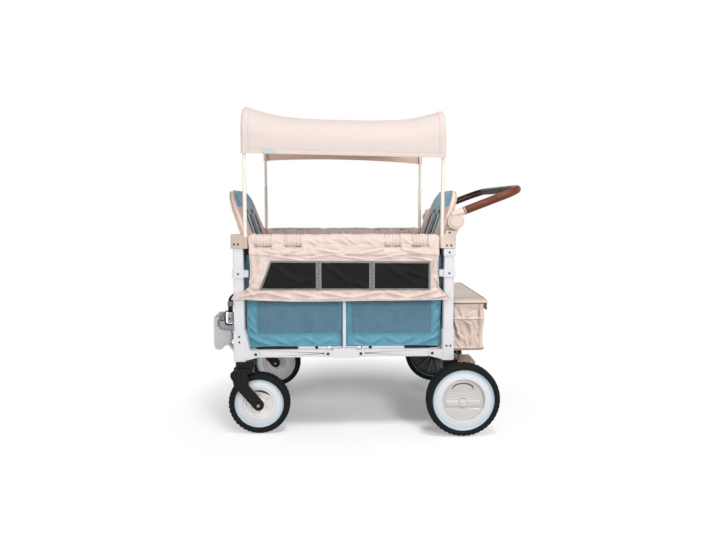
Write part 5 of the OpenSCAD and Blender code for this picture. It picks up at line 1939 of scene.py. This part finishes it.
def ring_of(x0, y0, x1, y1, r, m):
    q = np.array(rrect(x0, y0, x1, y1, r, 8))
    q = np.vstack([q, q[:1]])
    d = np.concatenate([[0], np.cumsum(np.hypot(*np.diff(q, axis=0).T))])
    s = np.linspace(0, d[-1], m, endpoint=False)
    p = np.stack([np.interp(s, d, q[:, 0]), np.interp(s, d, q[:, 1])], 1)
    t = np.roll(p, -1, 0) - np.roll(p, 1, 0)
    t /= np.linalg.norm(t, axis=1)[:, None]
    return p, np.stack([t[:, 1], -t[:, 0]], 1)


def bag_push(x, y, z, nx, ny):
    """How far the bag's cloth stands off its plain wall."""
    side = np.stack([np.where(y < 0, x, 906 - x), z], -1).reshape(-1, 2)
    back = np.stack([y, z], -1).reshape(-1, 2)
    p3 = np.stack([x, y, z], -1).reshape(-1, 3)
    low = np.sin(math.pi * np.clip((396 - z) / 111, 0, 1))
    up = np.sin(math.pi * np.clip((z - 396) / 56, 0, 1))
    fs = 1.3 * crease(side, SIDE_FOLDS).reshape(x.shape) - 8.0 * low * (1.25 - 0.7 * (x - 386) / 134) - 2.0 * up
    fr = 1.25 * crease(back, REAR_FOLDS).reshape(x.shape) - 5.0 * low * (0.7 + 0.3 * np.cos(y / 40)) - 2.0 * up
    soft = (2.2 * nzf(p3, 38, 61, 3) + 1.3 * nz(p3, 13, 63)).reshape(x.shape)
    return ny ** 2 * fs + np.clip(nx, 0, 1) ** 2 * fr + soft * (1 - 0.7 * np.clip(-nx, 0, 1))


def bag():
    m = 300
    q, nn = ring_of(390.5, -214.5, 513.5, 214.5, 17, m)
    zs = np.concatenate([np.linspace(290, 396, 44), np.linspace(398, 450.5, 22)])
    Z, X = np.meshgrid(zs, q[:, 0], indexing="ij")
    Y = np.broadcast_to(q[:, 1], X.shape)
    NX, NY = np.broadcast_to(nn[:, 0], X.shape), np.broadcast_to(nn[:, 1], X.shape)
    d = bag_push(X, Y, Z, NX, NY) * smooth(286, 300, Z) * (1 - 0.75 * smooth(436, 450, Z))
    d = np.clip(d, -14, 5.6)
    R = np.stack([X + NX * d, Y + NY * d, Z], -1)
    low = []
    for ins, zz in ((60, 286.6), (22, 286.2), (9, 286.0), (3, 286.6), (0.6, 288.0)):
        low.append(np.column_stack([q[:, 0] - nn[:, 0] * ins, q[:, 1] - nn[:, 1] * ins, np.full(m, zz)]))
    low[0] = np.column_stack([452 + (q[:, 0] - 452) * 0.12, q[:, 1] * 0.75, np.full(m, 286.8)])
    R = np.concatenate([np.stack(low), R])
    # the loaded cloth hangs a little below the sewn base
    R[..., 2] -= 8.0 * (1 - smooth(292, 360, R[..., 2]))
    f = grid_faces(len(R), m, cv=True)
    f.append(tuple(range(m))[::-1])
    ob = make("bag_body", R.reshape(-1, 3), f, [M["bag"]], sharp=0, uv=None)
    fix_normals(ob)
    solidify(ob, 2.6, -1.0)
    finish_mesh(ob.data, 60)
    box_uv(ob.data)
    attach(ob, "rear_end")
    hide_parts("bag")
    # bound top edge, sewn lower edge, and a zip with its pull
    bits = [tube("bind", R[-1] + np.column_stack([nn * -1.2, np.full(m, 0.0)]), 2.3, [M["tan"]], 10, closed=True)]
    k = int(np.argmin(np.abs(zs - 293))) + len(low)
    bits.append(tube("hem", R[k] + np.column_stack([nn * 0.6, np.zeros(m)]), 1.5, [M["thread_dark"]], 8, closed=True))
    for sy in (-1, 1):
        sel = (np.sign(q[:, 1]) == sy) & (np.abs(nn[:, 1]) > 0.9)
        j = np.where(sel)[0][np.argmin(np.abs(q[sel, 0] - 493))]
        line = R[len(low) + 4:, j] + np.array([0, sy * 0.5, 0])
        bits.append(strap("tape", line, (0, sy, 0), 9.0, 1.0, [M["tan"]]))
        bits.append(tube("teeth", line + np.array([0, sy * 0.8, 0]), 1.0, [M["tan"]], 6))
        c = R[len(low) + int(np.argmin(np.abs(zs - 424))), j] + np.array([0, sy * 2.0, 0])
        bits.append(prism("slider", rrect(c[0] - 3.5, c[2] - 5, c[0] + 3.5, c[2] + 5, 2), "y", min(c[1], c[1] + sy * 2.6), max(c[1], c[1] + sy * 2.6), [M["taupe"]], 0.7))
        bits.append(prism("pull", rrect(c[0] - 2.6, c[2] - 21, c[0] + 2.6, c[2] - 4, 2), "y", min(c[1] + sy, c[1] + sy * 2.6), max(c[1] + sy, c[1] + sy * 2.6), [M["taupe"]], 0.6))
    join("bag_trim", bits, "rear_end")
    rows = []
    for dz in (390.0,):
        k = int(np.argmin(np.abs(zs - dz))) + len(low)
        rows.append((R[k] + np.column_stack([nn * 0.2, np.zeros(m)]), np.column_stack([nn, np.zeros(m)])))
    stitches("bag_stitches", rows, [M["thread"]], "rear_end", 5.0, 3.2, 0.42, 0.25)


def lid():
    m = 260
    q, nn = ring_of(387.5, -222, 521.5, 222, 16, m)
    ring = lambda ins, z: np.column_stack([q - nn * ins, np.full(m, z)])
    c = np.array([454.5, 0.0])
    rows = [ring(14, 454.4), ring(2.2, 453.4), ring(0.8, 454.2), ring(0.2, 457), ring(0.4, 460.5), ring(1.4, 463.2), ring(3.4, 464.6), ring(7, 465.0)]
    for ins in (13, 20, 28, 36, 44, 52, 58, 62):
        k = np.column_stack([np.clip(q[:, 0], 387.5 + ins, 521.5 - ins), np.clip(q[:, 1], -222 + ins, 222 - ins)])
        z = 464.9 - 2.8 * np.sin(math.pi * (k[:, 0] - 387.5) / 134) * (1 - (k[:, 1] / 222) ** 4)
        rows.append(np.column_stack([k, z]))
    R = np.stack(rows)
    p = R.reshape(-1, 3)
    top = smooth(462, 465, R[..., 2])
    R[..., 2] += top * (1.1 * nzf(p * np.array([1, 0.5, 1]), 46, 71, 3) - 0.9 * np.abs(nz(p, 70, 73)) + 0.35).reshape(R.shape[:2])
    n = len(R)
    f = grid_faces(n, m, cv=True)
    f.append(tuple(range(m))[::-1])
    f.append(tuple((n - 1) * m + k for k in range(m)))
    idx = [(1 if k // m >= 6 and k < (n - 1) * m else 0) for k in range(len(f))]
    idx[-1] = 1
    ob = make("bag_cover", R.reshape(-1, 3), f, [M["bag"], M["bag_lid"]], idx, sharp=0)
    fix_normals(ob)
    weld(ob, 1e-5)
    finish_mesh(ob.data, 60)
    box_uv(ob.data)
    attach(ob, "lid")
    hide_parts("bag_lid")
    bits = [tube("piping", R[6] + np.array([0, 0, 0.8]), 2.0, [M["bag"]], 10, closed=True),
            tube("edge", R[2] + np.column_stack([nn * 0.2, np.full(m, 0.6)]), 1.2, [M["thread_dark"]], 8, closed=True)]
    ys, zs = np.linspace(-206, 206, 84), np.linspace(426, 462, 12)
    Yg, Zg = np.meshgrid(ys, zs, indexing="ij")
    g = np.stack([Yg, Zg, 0 * Yg], -1).reshape(-1, 3)
    corner = np.clip((np.abs(Yg) - 194) / 12, 0, 1) ** 2 * 8 * (1 - smooth(426, 440, Zg))
    G = np.stack([522.3 + 0.6 * nzf(g, 40, 77, 2).reshape(Yg.shape) + 0.9 * (1 - smooth(426, 446, Zg)), Yg, Zg + corner], -1)
    fl = make("front_flap", G.reshape(-1, 3), grid_faces(len(ys), len(zs)), [M["bag"]], sharp=0, uv=arc_uv(G).reshape(-1, 2))
    solidify(fl, 2.0, 0.0)
    fix_normals(fl)
    bits.append(fl)
    bits.append(tube("flap_edge", G[:, 0], 1.5, [M["tan"]], 8))
    for sy in (-1, 1):
        b = np.array([523.6, sy * 120.0, 432.0])
        bits.append(strap("tab", np.array([b + (0.5, 0, 26), b + (1.2, 0, 0), b + (0.6, 0, -16)]), (1, 0, 0), 24, 1.8, [M["tan"]]))
    join("bag_cover_trim", bits, "lid")
    stitches("bag_cover_stitches", [(G[3:-3, 2] + np.array([1.1, 0, 0]), (1, 0, 0))], [M["thread"]], "lid", 5.0, 3.2, 0.42, 0.2)


bag()
lid()


# ---------------------------------------------------- push handle's leather
def push_grip():
    c21, s21 = math.cos(math.radians(21)), math.sin(math.radians(21))
    bend = [(185 + 70 * math.sin(a), -216 - 70 * math.cos(a), 0.0) for a in np.linspace(0, math.pi / 2, 24)]
    loc = np.array([(38, -286, 0.0)] + bend + [(x, -y, z) for x, y, z in bend[::-1]] + [(38, 286, 0.0)])
    loc = resample(loc, 3.5)
    pts = np.column_stack([385 + loc[:, 0] * c21 - 23 * s21, loc[:, 1], 754 + loc[:, 0] * s21 + 23 * c21])
    up = np.array([-s21, 0, c21])
    d = np.concatenate([[0], np.cumsum(np.linalg.norm(np.diff(pts, axis=0), axis=1))])
    e = np.minimum(d, d[-1] - d)
    r = 14.1 + 0.22 * nz(pts * np.array([1, 1, 1]), 30, 5) + 0.12 * nz(pts, 9, 7)
    r = r - 0.9 * np.exp(-((e - 11) / 1.8) ** 2) - 2.2 * (1 - smooth(0, 3.0, e))
    ob = tube("leather_grip", pts, r, [M["leather"]], 28, up=up, sharp=60)
    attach(ob, "push_handle")
    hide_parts("handle_grip")
    box_uv(ob.data)
    t = np.gradient(pts, axis=0)
    t /= np.linalg.norm(t, axis=1)[:, None]
    inner = np.cross(t, up)
    mid = np.array([385.0, 0, 754.0])
    if ((mid - pts[len(pts) // 2]) * inner[len(pts) // 2]).sum() < 0:
        inner = -inner
    # the side towards the hands' inside is a darker strip, sewn along its middle
    me = ob.data
    me.materials.append(M["leather_dark"])
    w_in = W(pts)
    for p in me.polygons:
        k = int(np.argmin(((w_in - np.array(p.center)) ** 2).sum(1)))
        if np.dot(np.array(p.normal), inner[k]) > 0.25:
            p.material_index = 1
    rows = []
    for a in (-0.22, 0.22):
        n = inner * math.cos(a) + up * math.sin(a)
        rows.append((pts[6:-6] + n[6:-6] * 14.25, n[6:-6]))
    stitches("leather_stitches", rows, [M["thread_dark"]], "push_handle", 6.0, 3.8, 0.5, 0.25)
    bits = [tube("seam", pts[5:-5] + inner[5:-5] * 14.05, 0.7, [M["thread_dark"]], 6)]
    for k in (1, -2):
        ang = np.linspace(0, 2 * math.pi, 32, endpoint=False)
        side = np.cross(t[k], up)
        bits.append(tube("end_ring", pts[k] + 13.6 * (np.cos(ang)[:, None] * up + np.sin(ang)[:, None] * side), 2.0, [M["hub"]], 8, closed=True))
    join("leather_trim", bits, "push_handle")


# ------------------------------------------------------------- pull handle
def moulded(node, name, mat, body, voxel, rounds):
    """A CAD piece with its edges worn round, as moulded plastic has them."""
    me = NODES[node].data.copy()
    me.materials.clear()
    me.materials.append(mat)
    ob = bpy.data.objects.new(name, me)
    COLL.objects.link(ob)
    remesh(ob, voxel)
    m = ob.modifiers.new("smooth", "SMOOTH")
    m.factor = 0.5
    m.iterations = rounds
    bake_mods(ob)
    finish_mesh(ob.data, 0)
    box_uv(ob.data)
    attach(ob, body)
    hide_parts(node)
    return ob


def pull_handle():
    moulded("pull_grip", "pull_handle_grip", M["grey"], "pull_handle", 1.8, 5)
    bits = []
    for sy in (-1, 1):
        lo, hi = (57.0, 58.4) if sy > 0 else (-58.4, -57.0)
        # a darker grey strip on each side of the grip's upper bar: painted shade where the grip's opening looks dark
        bits.append(prism("inset", rrect(-492, 338, -484.4, 367, 2.5), "y", lo, hi, [M["grey_dark_and_shade"]], 0.5))
        lo, hi = sorted((sy * 56.5, sy * 59.2))
        bits.append(prism("plate", rrect(-474, 276, -442, 318, 5), "y", lo, hi, [M["grey"]], 1.2, 3))
    join("pull_handle_plates_and_shade_strips", bits, "pull_handle")
    # the strap that holds the handle up when it is parked
    line = round_path([(-367, -8, 466), (-425, -8, 458), (-447, -8, 440), (-449, -8, 414), (-450, -8, 384)], 16)
    hook = [(x, -8.0, z) for x, z in rrect(-471, 335, -440, 390, 9, 6)]
    parts = [strap("park", resample(line, 4), (0, -1, 0), 19, 2.4, [M["web_black"]]),
             tube("hook", resample(np.array(hook + hook[:1]), 3)[:-1], 2.6, [M["black"]], 10, closed=True),
             tube("hook_arm", resample(round_path([(-471, -8, 356), (-476, -8, 352.6), (-490, -8, 352.4), (-508.6, -8, 352.4), (-508.8, -8, 368)], 5), 2), 2.2, [M["black"]], 10),
             prism("frame", rrect(-461, 410, -437, 428, 4), "y", -12.5, -3.5, [M["grey_dark_and_shade"]], 1.2, 3),
             prism("tongue", rrect(-460, 342, -444, 382, 5), "y", -14, -2.5, [M["grey"]], 2.0, 3),
             prism("press", rrect(-454.5, 355, -449.5, 365, 2.5), "y", -14.8, -13.6, [M["black"]], 0.5)]
    parts.append(strap("loop", np.array([(-366.8, -8, 480), (-368.2, -8, 462), (-366.8, -8, 446)]), (-1, 0, 0), 24, 2, [M["web_black"]]))
    join("pull_park_strap", parts, "front_end")


push_grip()
pull_handle()


# --------------------------------------------------- floor edges and castors
def floor_edges():
    spans = {"front_lower": ((-298, -168, "black"), (-164, -104, "white"), (-94, -62, "white")),
             "centre": ((-50, 50, "white"),),
             "rear_lower": ((62, 87, "white"), (97, 214, "white"), (218, 298, "black"))}
    for body, rows in spans.items():
        bits = []
        for x0, x1, m in rows:
            for sd in (-1, 1):
                lo, hi = (248.2, 253.6) if sd > 0 else (-253.6, -248.2)
                bits.append(prism("edge", rrect(x0, 299, x1, 307.6, 2), "y", lo, hi, [M[m]], 0.8))
        join("floor_edges_" + body, bits, body)


def castor_details():
    for sd, tag in ((-1, "left"), (1, "right")):
        bits = []
        for z in (244.0, 250.5, 257.0):
            path = [(x, sd * 257 + y, z) for x, y in rrect(-381, -29, -319, 29, 12, 6)]
            bits.append(tube("band", path, 1.7, [M["black"]], 8, closed=True))
        join("castor_bands_" + tag, bits, "front_end")
        nuts = []
        for face in (-1, 1):
            y = sd * 257 + face * 35.2
            for pts in ([(-388, y, 228), (-394, y, 214), (-386, y, 200), (-382, y, 182), (-314, y, 101)],
                        [(-345, y, 232), (-342, y, 205), (-340, y, 180), (-290, y, 121)],
                        [(-377, y, 230), (-380, y, 206), (-372, y, 186)], [(-361, y, 232), (-361, y, 206), (-356, y, 184)]):
                nuts.append(tube("rib", round_path(pts, 16), 2.0, [M["black"]], 10))
        for face in (-1, 1):
            y0 = sd * 257 + face * 35.0
            hexa = [(-302 + 6 * math.cos(a), 109 + 6 * math.sin(a)) for a in np.linspace(0.2, 0.2 + 2 * math.pi, 6, endpoint=False)]
            wash = [(-302 + 11.5 * math.cos(a), 109 + 11.5 * math.sin(a)) for a in np.linspace(0, 2 * math.pi, 32, endpoint=False)]
            for poly, a, b, m in ((wash, -0.4, 1.6, "black"), (hexa, 1.0, 5.8, "grey_dark_and_shade")):
                lo, hi = sorted((y0 + face * a, y0 + face * b))
                nuts.append(prism("nut", poly, "y", lo, hi, [M[m]], 0.5))
        join("castor_nuts_" + tag, nuts, "caster_" + tag)


def corner_straps():
    """Short dark straps that tie the tub's corners to the posts."""
    for half, body in ((-1, "front_end"), (1, "rear_end")):
        bits = []
        for sd in (-1, 1):
            a, b = sorted((half * 350, half * 328))
            lo, hi = sorted((sd * 248.4, sd * 250.2))
            bits.append(prism("tie", rrect(a, 634, b, 658, 2), "y", lo, hi, [M["web_black"]], 0.5))
        o = join("tub_ties_" + body, bits, body)
        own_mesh(o)


floor_edges()
castor_details()
corner_straps()
